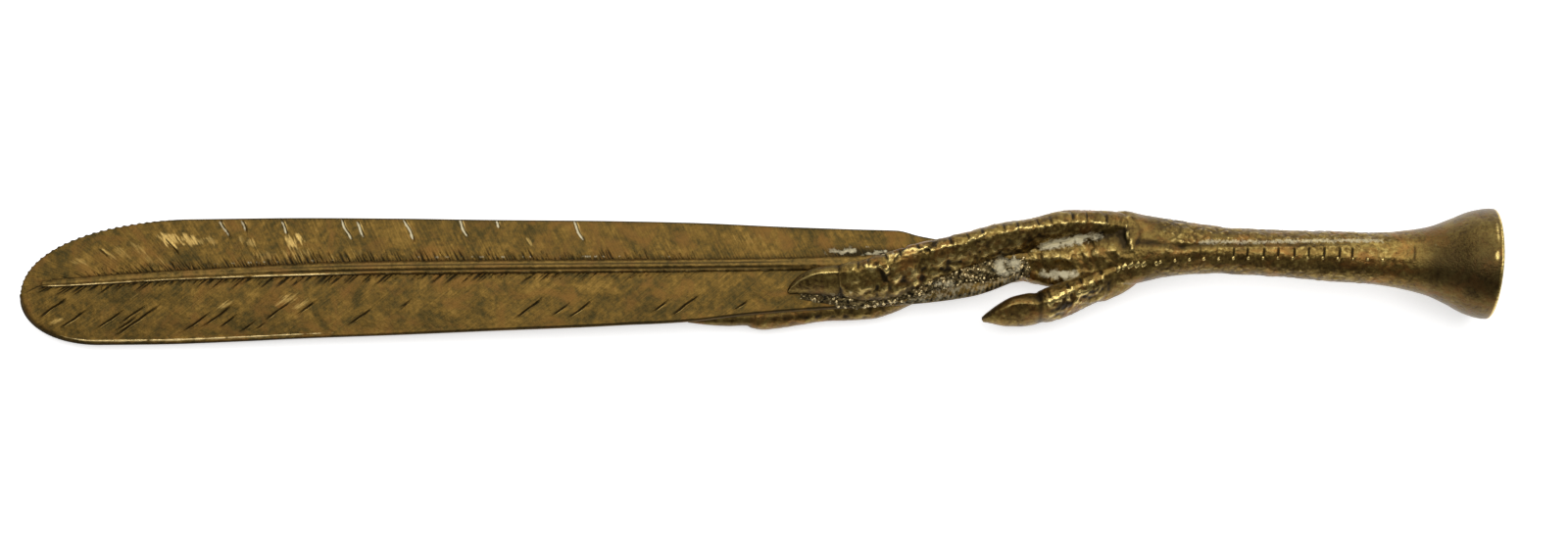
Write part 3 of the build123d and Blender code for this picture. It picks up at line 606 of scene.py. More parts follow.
def row_tree():
    """Small domed tiles in a row along a path, dropped onto a surface: barbs or burrs."""
    sizes = {
        "Object": ("Surface",),
        "Material": ("Finish",),
        "Float": ("Pitch", "Length", "Breadth", "Height", "Sink", "Start", "Turn", "Uneven", "Crisp", "Bare"),
        "Int": ("Seed", "Points along", "Points across"),
    }
    tree, given = empty_tree("row_on_surface", "Path", sizes, "Row")

    def sum_up(operation, a, b=0.0):
        return node_out(tree, "ShaderNodeMath", {0: a, 1: b}, operation=operation)

    def chance(low, high, extra):
        seed = node_out(tree, "FunctionNodeIntegerMath", {0: given["Seed"], 1: extra})
        return add_node(tree, "FunctionNodeRandomValue", {2: low, 3: high, "Seed": seed}).outputs[1]

    path = node_out(tree, "GeometryNodeMeshToCurve", {0: given["Path"]})
    points = add_node(tree, "GeometryNodeCurveToPoints", {"Curve": path, "Length": given["Pitch"]}, mode="LENGTH")
    lift = sum_up("SUBTRACT", 1.0, sum_up("MULTIPLY", given["Uneven"], chance(0.0, 1.6, 1)))
    stored = {"Geometry": points.outputs["Points"], "Name": "lift", "Value": lift}
    stored = node_out(tree, "GeometryNodeStoreNamedAttribute", stored)
    tangent = add_node(tree, "ShaderNodeSeparateXYZ", {0: points.outputs["Tangent"]}).outputs
    wobble = sum_up("MULTIPLY", given["Uneven"], chance(-0.3, 0.3, 2))
    heading = sum_up("ADD", sum_up("ADD", sum_up("ARCTAN2", tangent[1], tangent[0]), given["Turn"]), wobble)
    heading = node_out(tree, "ShaderNodeCombineXYZ", {"Z": heading})
    heading = node_out(tree, "FunctionNodeEulerToRotation", {0: heading})
    blank = {"Vertices X": given["Points along"], "Vertices Y": given["Points across"], "Vertices Z": 2}
    blank = node_out(tree, "GeometryNodeMeshCube", blank)
    local = node_out(tree, "GeometryNodeInputPosition")
    blank = {"Geometry": blank, "Name": "tile", "Value": local}
    blank = node_out(tree, "GeometryNodeStoreNamedAttribute", blank, data_type="FLOAT_VECTOR")
    shift = node_out(tree, "ShaderNodeCombineXYZ", {"X": given["Start"]})
    blank = node_out(tree, "GeometryNodeSetPosition", {"Geometry": blank, "Offset": shift})
    length = sum_up("SUBTRACT", 1.0, sum_up("MULTIPLY", given["Uneven"], chance(0.0, 0.9, 3)))
    size = {"X": sum_up("MULTIPLY", length, given["Length"]), "Y": given["Breadth"], "Z": 0.0001}
    size = node_out(tree, "ShaderNodeCombineXYZ", size)
    row = {"Points": stored, "Instance": blank, "Rotation": heading, "Scale": size}
    row = node_out(tree, "GeometryNodeInstanceOnPoints", row)
    row = node_out(tree, "GeometryNodeRealizeInstances", {0: row})
    tile = node_out(tree, "GeometryNodeInputNamedAttribute", {"Name": "tile"}, data_type="FLOAT_VECTOR")
    tile = add_node(tree, "ShaderNodeSeparateXYZ", {0: tile}).outputs
    lifted = node_out(tree, "GeometryNodeInputNamedAttribute", {"Name": "lift"})

    def dome(axis):
        square = sum_up("POWER", sum_up("ABSOLUTE", sum_up("MULTIPLY", axis, 2.0)), 2.0)
        return sum_up("MINIMUM", sum_up("MULTIPLY", sum_up("SUBTRACT", 1.0, square), given["Crisp"]), 1.0)

    crown = sum_up("MULTIPLY", sum_up("MULTIPLY", dome(tile[0]), dome(tile[1])), lifted)
    crown = sum_up("SUBTRACT", sum_up("MULTIPLY", crown, given["Height"]), TILE_EDGE_SUNK)
    above = sum_up("GREATER_THAN", tile[2], 0.0)
    stand = sum_up("SUBTRACT", sum_up("MULTIPLY", above, sum_up("ADD", crown, given["Sink"])), given["Sink"])
    ground = {"Object": given["Surface"]}
    ground = add_node(tree, "GeometryNodeObjectInfo", ground, transform_space="RELATIVE").outputs["Geometry"]
    spot = node_out(tree, "GeometryNodeInputPosition")
    high = node_out(tree, "ShaderNodeVectorMath", {0: spot, 1: (0, 0, DROP_HEIGHT)}, operation="ADD")
    drop = {"Target Geometry": ground, "Source Position": high, "Ray Direction": (0, 0, -1), "Ray Length": DROP_REACH}
    drop = add_node(tree, "GeometryNodeRaycast", drop).outputs
    off = {0: drop["Hit Normal"], "Scale": stand}
    off = node_out(tree, "ShaderNodeVectorMath", off, operation="SCALE")
    landed = {0: drop["Hit Position"], 1: off}
    landed = node_out(tree, "ShaderNodeVectorMath", landed, operation="ADD")
    row = {"Geometry": row, "Selection": drop["Is Hit"], "Position": landed}
    row = node_out(tree, "GeometryNodeSetPosition", row)
    row = {"Geometry": row, "Name": "worn", "Value": sum_up("MULTIPLY", given["Bare"], dome(tile[1]))}
    row = node_out(tree, "GeometryNodeStoreNamedAttribute", row)
    row = node_out(tree, "GeometryNodeSetShadeSmooth", {0: row})
    row = node_out(tree, "GeometryNodeSetMaterial", {"Geometry": row, "Material": given["Finish"]})
    add_node(tree, "NodeGroupOutput", {0: row})
    return tree


def grown_piece(name, seedling, tree, sizes):
    """Runs a tree on an object and keeps the result as a plain mesh of its own."""
    modifier = seedling.modifiers.new("tree", "NODES")
    modifier.node_group = tree
    for socket in tree.interface.items_tree:
        if socket.in_out == "INPUT" and socket.name in sizes:
            modifier[socket.identifier] = sizes[socket.name]
    grown = seedling.evaluated_get(bpy.context.evaluated_depsgraph_get())
    mesh = bpy.data.meshes.new_from_object(grown)
    seedling.modifiers.remove(modifier)
    bpy.data.objects.remove(seedling)
    mesh.name = name
    piece = bpy.data.objects.new(name, mesh)
    bpy.context.scene.collection.objects.link(piece)
    return piece


def laid_row(name, path, surface, finish, tree, **sizes):
    """A row of tiles along a path given in the tool frame, on a piece's upper side."""
    line = bpy.data.meshes.new(name)
    line.from_pydata(on_desk(path).tolist(), [(i, i + 1) for i in range(len(path) - 1)], [])
    seedling = bpy.data.objects.new(name + "_path", line)
    bpy.context.scene.collection.objects.link(seedling)
    sizes = {"Surface": surface, "Finish": finish, **sizes}
    return grown_piece(name, seedling, tree, sizes)


row_on_surface = row_tree()
for name, side, start, end, lean, length, pitch, seed in (
    ("barbs_narrow", 1, 12.0, 118.0, 61, 0.0022, 0.00055, 3),
    ("barbs_wide", -1, 14.0, 116.0, 43, 0.0017, 0.00095, 8),
):
    x = np.linspace(start, end, 240)
    half = 0.5 * flow(RIB_X, SHAFT_WIDTH, x) - 0.15
    foot = np.stack([x, flow(SHAFT_X, SHAFT_Y, x) + side * half, 1.0 + 0 * x], -1)
    row = laid_row(
        name, foot, vanes, feather_patina, row_on_surface,
        Pitch=pitch, Length=length, Breadth=0.00034, Height=0.00011, Sink=0.0003, Start=0.5,
        Turn=math.radians(180 - side * lean), Uneven=0.75, Crisp=1.6, Seed=seed, Bare=0.15,
        **{"Points along": 6, "Points across": 4},
    )
    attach(row, "root")

# Leg: shank, bell end and palm, one casting that carries everything else. The shank is scaled skin with a row of
# plates down its front and a groove beside them, the bell is smooth, and the palm is a rough cupped hand.

foot_patina = aged_brass(
    "foot_patina",
    tones=(
        (0.38, 0.074, 0.043, 0.011), (0.47, 0.154, 0.096, 0.023),
        (0.55, 0.220, 0.146, 0.036), (0.64, 0.325, 0.232, 0.062),
    ),
    stain=(0.245, 0.110, 0.025), gold=(0.64, 0.48, 0.17), dark=(0.027, 0.017, 0.0055),
    matte=0.33, polish=0.22, cloud=260.0, pitted=0.45,
)
ANKLE = (197.0, 2.8)
LEG_YAW = math.radians(-3.1)


def from_leg(points):
    """Leg frame, along the shank from the ankle, to the tool frame."""
    a, b, c = np.moveaxis(np.asarray(points, float), -1, 0)
    x = ANKLE[0] + a * math.cos(LEG_YAW) - b * math.sin(LEG_YAW)
    return np.stack([x, ANKLE[1] + a * math.sin(LEG_YAW) + b * math.cos(LEG_YAW), c], -1)


def cracks(points, size, seed):
    """Distance from the seams between scales, from 0 at a seam: cells scattered on a jittered grid."""
    place = np.asarray(points, float) / size
    base = np.floor(place).astype(np.int64)
    first = np.full(place.shape[:-1], 9.0)
    second = first.copy()
    for step in ((i, j, k) for i in (-1, 0, 1) for j in (-1, 0, 1) for k in (-1, 0, 1)):
        cell = base + np.array(step)
        seat = cell + np.stack([lattice(cell, seed + n) for n in (0, 31, 67)], -1)
        away = np.linalg.norm(seat - place, axis=-1)
        second = np.minimum(second, np.maximum(first, away))
        first = np.minimum(first, away)
    return second - first


def near_limb(points, limb):
    """Rough distance from points to a limb's skin, below zero inside it."""
    core = limb["core"][::4]
    flat = points.reshape(-1, 3)
    nearest = np.concatenate(
        [np.argmin(np.sum((part[:, None] - core) ** 2, -1), 1) for part in np.array_split(flat, 24)]
    )
    off = flat - core[nearest]
    half_wide, half_thick = limb["wide"][::4][nearest] / 2, limb["thick"][::4][nearest] / 2
    side = np.sum(off * limb["across"][::4][nearest], -1) / half_wide
    rise = np.sum(off * limb["up"][::4][nearest], -1) / half_thick
    ahead = np.linalg.norm(off, axis=-1) - np.hypot(side * half_wide, rise * half_thick)
    distance = (np.hypot(side, rise) - 1) * np.minimum(half_wide, half_thick) + np.maximum(ahead, 0)
    return distance.reshape(points.shape[:-1])


def bulge(rings, reach):
    """How far the skin stands out from its surroundings, below zero in hollows."""
    mean = 0
    for steps in ((reach, 0), (-reach, 0), (0, reach), (0, -reach)):
        moved = np.roll(rings, steps[1], 1)
        index = np.clip(np.arange(len(rings)) + steps[0], 0, len(rings) - 1)
        mean = mean + moved[index] / 4
    return np.sum((rings - mean) * outward(rings), -1)


# the toes are laid out first, because the palm swells to meet them: stations from the root to the claw's point
FRONT_TOE = (
    (195.6, 4.54, 0.2, 3.83, 3.6, 0.0), (189.1, 6.18, 0.9, 5.64, 5.3, 0.1), (182.4, 6.38, 1.6, 5.75, 5.7, 0.15),
    (174.7, 4.86, 2.5, 5.45, 5.3, 0.25), (169.9, 3.96, 3.0, 5.66, 5.4, 0.35), (166.3, 2.95, 3.2, 5.86, 5.4, 0.4),
    (162.3, 1.63, 3.2, 6.26, 5.3, 0.45), (157.9, 0.42, 3.1, 6.77, 5.2, 0.5), (153.8, -0.99, 3.3, 7.27, 5.3, 0.6),
    (149.8, -2.41, 3.4, 7.47, 5.6, 0.55), (145.7, -3.01, 3.1, 6.66, 5.1, 0.5), (143.0, -3.01, 2.9, 5.95, 4.6, 0.45),
    (142.3, -3.01, 2.7, 5.35, 4.2, 0.45), (141.5, -3.01, 2.75, 5.45, 4.3, 0.45), (139.3, -3.01, 2.8, 5.04, 4.3, 0.45),
    (136.7, -3.41, 2.4, 4.13, 3.6, 0.4), (134.6, -4.12, 1.8, 2.52, 2.3, 0.3), (133.4, -4.72, 1.2, 1.01, 1.0, 0.0),
)
HIND_TOE = (
    (194.5, 0.31, 0.2, 3.63, 3.6, 0.0), (189.4, -2.61, 0.4, 5.24, 5.0, 0.5), (184.4, -4.32, 0.7, 5.44, 5.3, 0.22),
    (178.8, -6.64, 0.7, 5.84, 5.8, 0.18), (176.9, -7.24, 0.6, 5.44, 5.2, 0.15), (176.3, -7.39, 0.6, 5.03, 4.8, 0.15),
    (174.9, -7.64, 0.6, 5.44, 5.0, 0.25), (172.5, -8.04, 0.5, 5.23, 4.6, 0.4), (170.0, -8.64, 0.2, 4.02, 3.5, 0.35),
    (167.7, -9.14, -0.3, 2.01, 1.9, 0.1), (166.6, -9.44, -0.6, 0.90, 0.9, 0.0),
)
OUTER_TOE = (
    (183.0, 0.20, -2.9, 3.51, 3.6, 0.0), (175.2, -0.30, -3.2, 4.21, 4.5, 0.0), (166.7, -1.50, -2.9, 4.41, 4.6, 0.0),
    (156.7, -3.50, -2.9, 4.40, 4.5, 0.0), (147.5, -6.50, -3.1, 5.10, 5.0, 0.0), (139.0, -7.30, -2.8, 4.50, 4.4, 0.0),
    (129.3, -8.30, -3.25, 5.20, 5.2, 0.0), (126.9, -8.50, -2.7, 4.30, 4.2, 0.0), (126.2, -8.50, -2.4, 3.60, 3.6, 0.0),
    (122.5, -8.80, -2.3, 3.10, 3.2, 0.0), (118.6, -9.11, -1.7, 2.00, 2.1, 0.0), (115.9, -9.42, -1.1, 0.80, 0.8, 0.0),
)
INNER_TOE = (
    (183.4, 4.21, -2.9, 3.51, 3.6, 0.0), (175.1, 4.01, -3.2, 4.11, 4.5, 0.0), (168.5, 3.21, -2.9, 4.21, 4.6, 0.0),
    (161.8, 2.60, -3.2, 4.70, 5.1, 0.0), (153.0, 2.30, -2.9, 4.40, 4.5, 0.0), (145.0, 2.00, -3.5, 5.00, 5.7, 0.0),
    (142.6, 1.80, -2.7, 4.20, 4.2, 0.0), (141.9, 1.80, -2.4, 3.50, 3.6, 0.0), (138.2, 1.50, -2.3, 3.00, 3.2, 0.0),
    (134.3, 1.30, -1.7, 2.00, 2.1, 0.0), (131.4, 1.21, -1.1, 0.80, 0.8, 0.0),
)
toes = {
    "front_toe": limb_rings(FRONT_TOE, around=108, crested=True),
    "hind_toe": limb_rings(HIND_TOE, around=108, crested=True),
    "rear_toe_outer": limb_rings(OUTER_TOE),
    "rear_toe_inner": limb_rings(INNER_TOE),
}

# stations of the palm and the ankle: distance from the ankle, seat across and up, half width and half thickness
PALM_STATIONS = (
    (-25.0, -1.8, -2.1, 3.4, 2.6), (-21.3, -1.7, -1.9, 5.2, 3.3), (-14.7, -1.1, -1.6, 6.2, 3.6),
    (-6.6, -0.5, -0.4, 6.45, 4.1), (-2.1, -0.2, 0.0, 5.65, 4.75), (1.2, 0.05, 0.0, 5.0, 4.8),
    (4.6, 0.15, 0.0, 4.55, 4.45), (7.9, 0.2, 0.0, 4.2, 4.1), (11.2, 0.15, 0.0, 4.0, 3.95),
)
# stations of the round shank and the bell: distance from the ankle, seat across and radius
SHANK_STATIONS = (
    (15.0, 0.1, 3.96), (18.0, 0.1, 3.98), (24.8, 0.1, 4.14), (31.4, 0.1, 4.36), (35.0, 0.1, 4.4), (38.0, 0.1, 4.56),
    (41.3, 0.1, 5.0), (44.6, 0.1, 5.62), (46.3, 0.12, 6.1), (48.3, 0.15, 6.92), (49.7, 0.17, 7.55), (51.0, 0.19, 8.2),
    (52.3, 0.17, 8.74), (53.6, 0.15, 9.12), (54.6, 0.14, 9.34), (55.6, 0.14, 9.46), (56.25, 0.14, 9.46),
    (56.48, 0.14, 9.36), (56.57, 0.14, 9.18), (56.6, 0.14, 8.9),
)
BELL_SKEW = 0.025
LEG_ANGLES = np.linspace(0, 2 * np.pi, 150, endpoint=False)
stations = np.array(PALM_STATIONS + tuple((a, y, 0.0, radius, radius) for a, y, radius in SHANK_STATIONS))
down = [np.arange(-25, 5, 0.18), np.arange(5, 34, 0.1), np.arange(34, 56, 0.15), np.arange(56, 56.59, 0.04), [56.6]]
down = np.concatenate(down)
seat_y, seat_z, half_wide, half_thick = flow(stations[:, 0], stations[:, 1:], down).T[..., None]
down = down[:, None]
skew = BELL_SKEW * half_wide * kept(-np.cos(LEG_ANGLES)) * kept((down - 46) / 8)
leg_rings = (down - skew, seat_y + half_wide * np.cos(LEG_ANGLES), seat_z + half_thick * np.sin(LEG_ANGLES))
leg_rings = from_leg(np.stack(np.broadcast_arrays(*leg_rings), -1))

facing = np.sin(LEG_ANGLES) * np.ones_like(down)
front = kept(3 * facing)
upper_side = kept(0.3 + np.cos(LEG_ANGLES))
shank = kept((down + 3) / 4) * kept((44 - down) / 8)
rough = kept((-down - 2) / 4)
lumps, pocks = casting_noise(leg_rings, 2.2, 31), casting_noise(leg_rings, 0.7, 33)
seams = hump(cracks(leg_rings * (0.7, 1, 1), 1.4, 5), 0, 0.14)

# the groove beside the plates, with flux dried along it, and a fold across the ankle
groove_at = flow((0, 4, 12, 20, 30, 37), (1.72, 1.62, 1.42, 1.27, 1.14, 1.06), down)
groove = hump(LEG_ANGLES, groove_at, 0.1) * kept((down - 1) / 4) * kept((38 - down) / 14)
beside_groove = hump(LEG_ANGLES, groove_at - 0.15, 0.12) * kept((down - 4) / 3) * kept((40 - down) / 4)
ankle_fold = hump(down + 0.7 * np.sin(4 * LEG_ANGLES), -4.6, 0.3) * kept(5 * facing - 3.2) * (LEG_ANGLES < 1.7)

# plates down the front: a smooth band, parted by thin cuts at these distances from the ankle
DEEP_CUTS = (12.2, 14.5, 17.3, 19.7, 22.4, 24.8, 27.4, 30.0, 32.1)
FAINT_CUTS = (6.6, 9.4, 36.5, 42.4)
band_at = flow((-2, 0, 12, 22, 32, 44), (2.0, 1.95, 1.76, 1.62, 1.5, 1.45), down)
band = hump(LEG_ANGLES, band_at, 0.27, 4) * kept((down + 1) / 6) * kept((46 - down) / 8)
bowed = down - 0.12 * np.cos(LEG_ANGLES)
gaps = [hump(bowed, cut, 0.13) for cut in DEEP_CUTS] + [0.5 * hump(bowed, cut, 0.13) for cut in FAINT_CUTS]
gaps = np.max(gaps, 0) * hump(LEG_ANGLES, band_at, 0.24, 6)
scaled = shank * (1 - hump(LEG_ANGLES, band_at, 0.42, 4))

crease = swell = np.zeros(leg_rings.shape[:2])
before_ankle = kept((-down - 7) / 5)
for toe in toes.values():
    distance = near_limb(leg_rings, toe)
    swell = swell + 0.45 * kept(1 - np.abs(distance) / 1.8) ** 2 * before_ankle
    crease = np.maximum(crease, np.exp(-np.clip(distance, 0, None) / 0.5) * before_ankle)


def along_line(points, start, end, breadth):
    """Nearness from 0 to 1 to a line drawn across the face."""
    start, way = np.array(start), np.subtract(end, start)
    share = kept(((points[..., :2] - start) @ way) / (way @ way))
    off = points[..., :2] - start - share[..., None] * way
    return np.exp(-np.sum(off**2, -1) / breadth**2)


# the palm's face: the quill's ridge, the hollow between it and the front toe, and the cupped end of the quill
face = front * kept((-down - 4) / 3)
cup = np.hypot((leg_rings[..., 0] - 178.7) / 3.9, (leg_rings[..., 1] + 0.9) / 1.8)
palm = 0.45 * along_line(leg_rings, (173, 0.9), (188, 1.9), 1.3)
palm = palm - 0.45 * along_line(leg_rings, (176.4, 2.9), (189, 4.9), 0.9)
palm = palm - 0.13 * hump(cup, 0, 1, 4) + 0.15 * hump(cup, 1.1, 0.3) + 0.14 * lumps + 0.07 * pocks

# a broken ridge across the ankle, with hollows on either side of it
ankle_ridge = along_line(leg_rings + 0.5 * lumps[..., None] * (1, 0, 0), (191.2, 6.0), (192.0, 1.6), 0.5)
ankle_ridge = ankle_ridge * front * kept(0.45 + 1.2 * pocks)
beside_ridge = along_line(leg_rings, (190.2, 5.6), (190.6, 2.6), 0.7)
beside_ridge = front * (beside_ridge + along_line(leg_rings, (192.9, 3.4), (200.8, 2.4), 0.6))

SEAM_DEPTH, PLATE_HEIGHT, PLATE_CUT_DEPTH, GROOVE_DEPTH = 0.06, 0.1, 0.2, 0.22
lift = shank * (0.05 * lumps * (1 - 0.7 * band) + 0.05 * pocks * (1 - band))
lift = lift - SEAM_DEPTH * seams * scaled * (0.4 + upper_side)
lift += PLATE_HEIGHT * band - PLATE_CUT_DEPTH * gaps - GROOVE_DEPTH * groove
lift = lift - 0.06 * ankle_fold + 0.3 * ankle_ridge - 0.2 * beside_ridge
lift += rough * (0.14 * lumps + 0.06 * pocks) + swell + face * palm
lift = lift * kept((54 - down) / 4) + 0.03 * lumps * kept((53.5 - down) / 4)
leg_rings = leg_rings + outward(leg_rings) * lift[..., None]
curved = bulge(leg_rings, 3)


def dried_flux(points):
    """Pale flux that dried in the hollows of the palm and beside the shaft, seen from the face."""
    pale = np.zeros(points.shape[:-1])
    for x, y, reach, breadth, tilt, strength in (
        (181.2, 3.7, 5.6, 0.8, 0.19, 1.15), (170.8, -0.5, 2.5, 1.8, 0.0, 1.0), (179.6, -1.8, 3.4, 0.95, 0.0, 0.95),
        (147.5, 1.4, 5.5, 0.6, 0.0, 0.35), (160.0, -3.6, 2.2, 0.8, 0.1, 0.65), (142.0, -5.4, 4.0, 0.7, 0.0, 0.3),
    ):
        along = (points[..., 0] - x) * math.cos(tilt) + (points[..., 1] - y) * math.sin(tilt)
        off = (points[..., 1] - y) * math.cos(tilt) - (points[..., 0] - x) * math.sin(tilt)
        pale = np.maximum(pale, strength * hump(along, 0, reach, 4) * hump(off, 0, breadth))
    return pale * (points[..., 2] > 0) * np.clip(0.86 + 0.62 * casting_noise(points, 0.8, 61, 3), 0, 1.12)


# line by the front toe's root, along which shade is painted on the leg and the toes
ANKLE_SHADE_LINE = ((183.5, 4.9), (190.5, 5.2))
bell = kept((down - 40) / 6)
bell_rim = kept((down - 56.1) / 0.12) * kept((56.59 - down) / 0.02)
# painted shade on the bell's upward face, deepest toward its -Y side
shaded = kept(3 * facing - 2) * (0.22 + 0.1 * kept((LEG_ANGLES - 1.3) / 0.5)) + 0.05 * hump(LEG_ANGLES, 2.3, 0.35)
# painted sheen: a bright streak and patch just inside the bell's rim
painted_rim_sheen = hump(down, 55.3, 0.4) * hump(LEG_ANGLES, 1.52, 0.1)
painted_rim_sheen = painted_rim_sheen + 0.7 * hump(down, 55.55, 0.25) * hump(LEG_ANGLES, 1.05, 0.28, 4)
# wear on the shank's bulges and the bell's rim; brighter metal along the plate band, partly painted highlight; and the
# painted sheen inside the rim
worn = np.clip(5 * curved, 0, 0.6) * shank * (1 - band) + 0.2 * band + bell_rim + 0.8 * painted_rim_sheen
worn += np.clip(2.2 * curved, 0, 0.45) * rough + 0.35 * ankle_ridge
worn += 0.16 * face * along_line(leg_rings, (173, 0.9), (186, 1.8), 0.9)
grime_and_shade = 0.4 * seams * scaled + 0.9 * gaps + 0.5 * groove + 0.3 * ankle_fold + 0.28 * crease
grime_and_shade += 0.4 * beside_ridge * (1 + 0.5 * lumps) + rough * (0.06 - 0.8 * curved)
grime_and_shade += face * (0.08 * (1 + lumps) + 0.16 * along_line(leg_rings, (186, 3.3), (190, 3.8), 1.1))
# darker round the ankle, and painted shade by the front toe's root
grime_and_shade += 0.26 * kept(1 - np.abs(down + 2) / 6) + 0.42 * facing * along_line(leg_rings, *ANKLE_SHADE_LINE, 1.4)
# darker on the shank's +Y side near the ankle, and painted shade on its -Y side
grime_and_shade += shank * (0.14 * upper_side * kept((16 - down) / 12) + 0.08 * kept(-1.5 * np.cos(LEG_ANGLES)))
# the bell darker all over, plus the painted shade on its upward face
grime_and_shade += bell * (down < 56.0) * (0.33 + shaded) * (1 - painted_rim_sheen)
leg_marks = {"worn": worn, "grime_and_shade": kept(grime_and_shade), "residue": dried_flux(leg_rings) + 0.5 * beside_groove}
leg = skin_piece("leg_skin", leg_rings, foot_patina, leg_marks)
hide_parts("leg")
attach(leg, "root")

# Burrs of the foot: each thin cut between the plates of the shank ends in a small bright burr thrown up by the
# modeller's tool, and coarser ones run from the hind toe up to the ankle. Both rows are laid on the leg.

burr_down = np.linspace(-0.25, 37.2, 90)
burr_across = flow((-1, 4, 12.2, 22, 32.3, 38), (-2.95, -2.2, -1.5, -1.0, -0.63, -0.6), burr_down)
shank_line = from_leg(np.stack([burr_down, burr_across, 4.0 + 0 * burr_down], -1))
ankle_line = [(186.6, -2.4), (189.4, -1.2), (191.0, -0.6), (193.8, -0.4), (196.0, -0.25)]
ankle_line = flow(np.arange(5), np.array(ankle_line), np.linspace(0, 4, 40))
for name, path, pitch, length, breadth, height, uneven, seed in (
    ("shank_burrs", shank_line, 0.00249, 0.0006, 0.00058, 0.00022, 0.3, 12),
    ("ankle_burrs", np.c_[ankle_line, 4.0 + 0 * ankle_line[:, 0]], 0.00105, 0.0014, 0.00085, 0.00028, 0.8, 14),
):
    row = laid_row(
        name, path, leg, foot_patina, row_on_surface,
        Pitch=pitch, Length=length, Breadth=breadth, Height=height, Sink=0.0003, Start=0.0, Turn=0.4, Uneven=uneven,
        Crisp=1.5, Seed=seed, Bare=1.1, **{"Points along": 5, "Points across": 5},
    )
    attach(row, "root")

# Toes: four castings let into the palm, one over the feather's face, one spread clear of it and two behind it. The
# two in front have a crest rubbed bright under a painted highlight, scales beside it, dark flanks, painted shade on
# the brow, below the hind toe's crest and under the front toe, and a claw set off by a cuticle. The two behind are
# plainer.

CLAW_LENGTH = {"front_toe": 9.0, "hind_toe": 10.5, "rear_toe_outer": 11.0, "rear_toe_inner": 11.0}
CUTICLE_X = {"front_toe": 142.2, "hind_toe": 176.4}
# how far the front toe's folds push its crest to the side, by the place along the feather
FOLD_X = (147.5, 148.3, 152.2, 152.7, 157.6, 158.2, 166.5, 168.5)
FOLD_SHIFT = (0, 0.16, 0.05, -0.22, -0.1, 0.12, 0.02, 0)

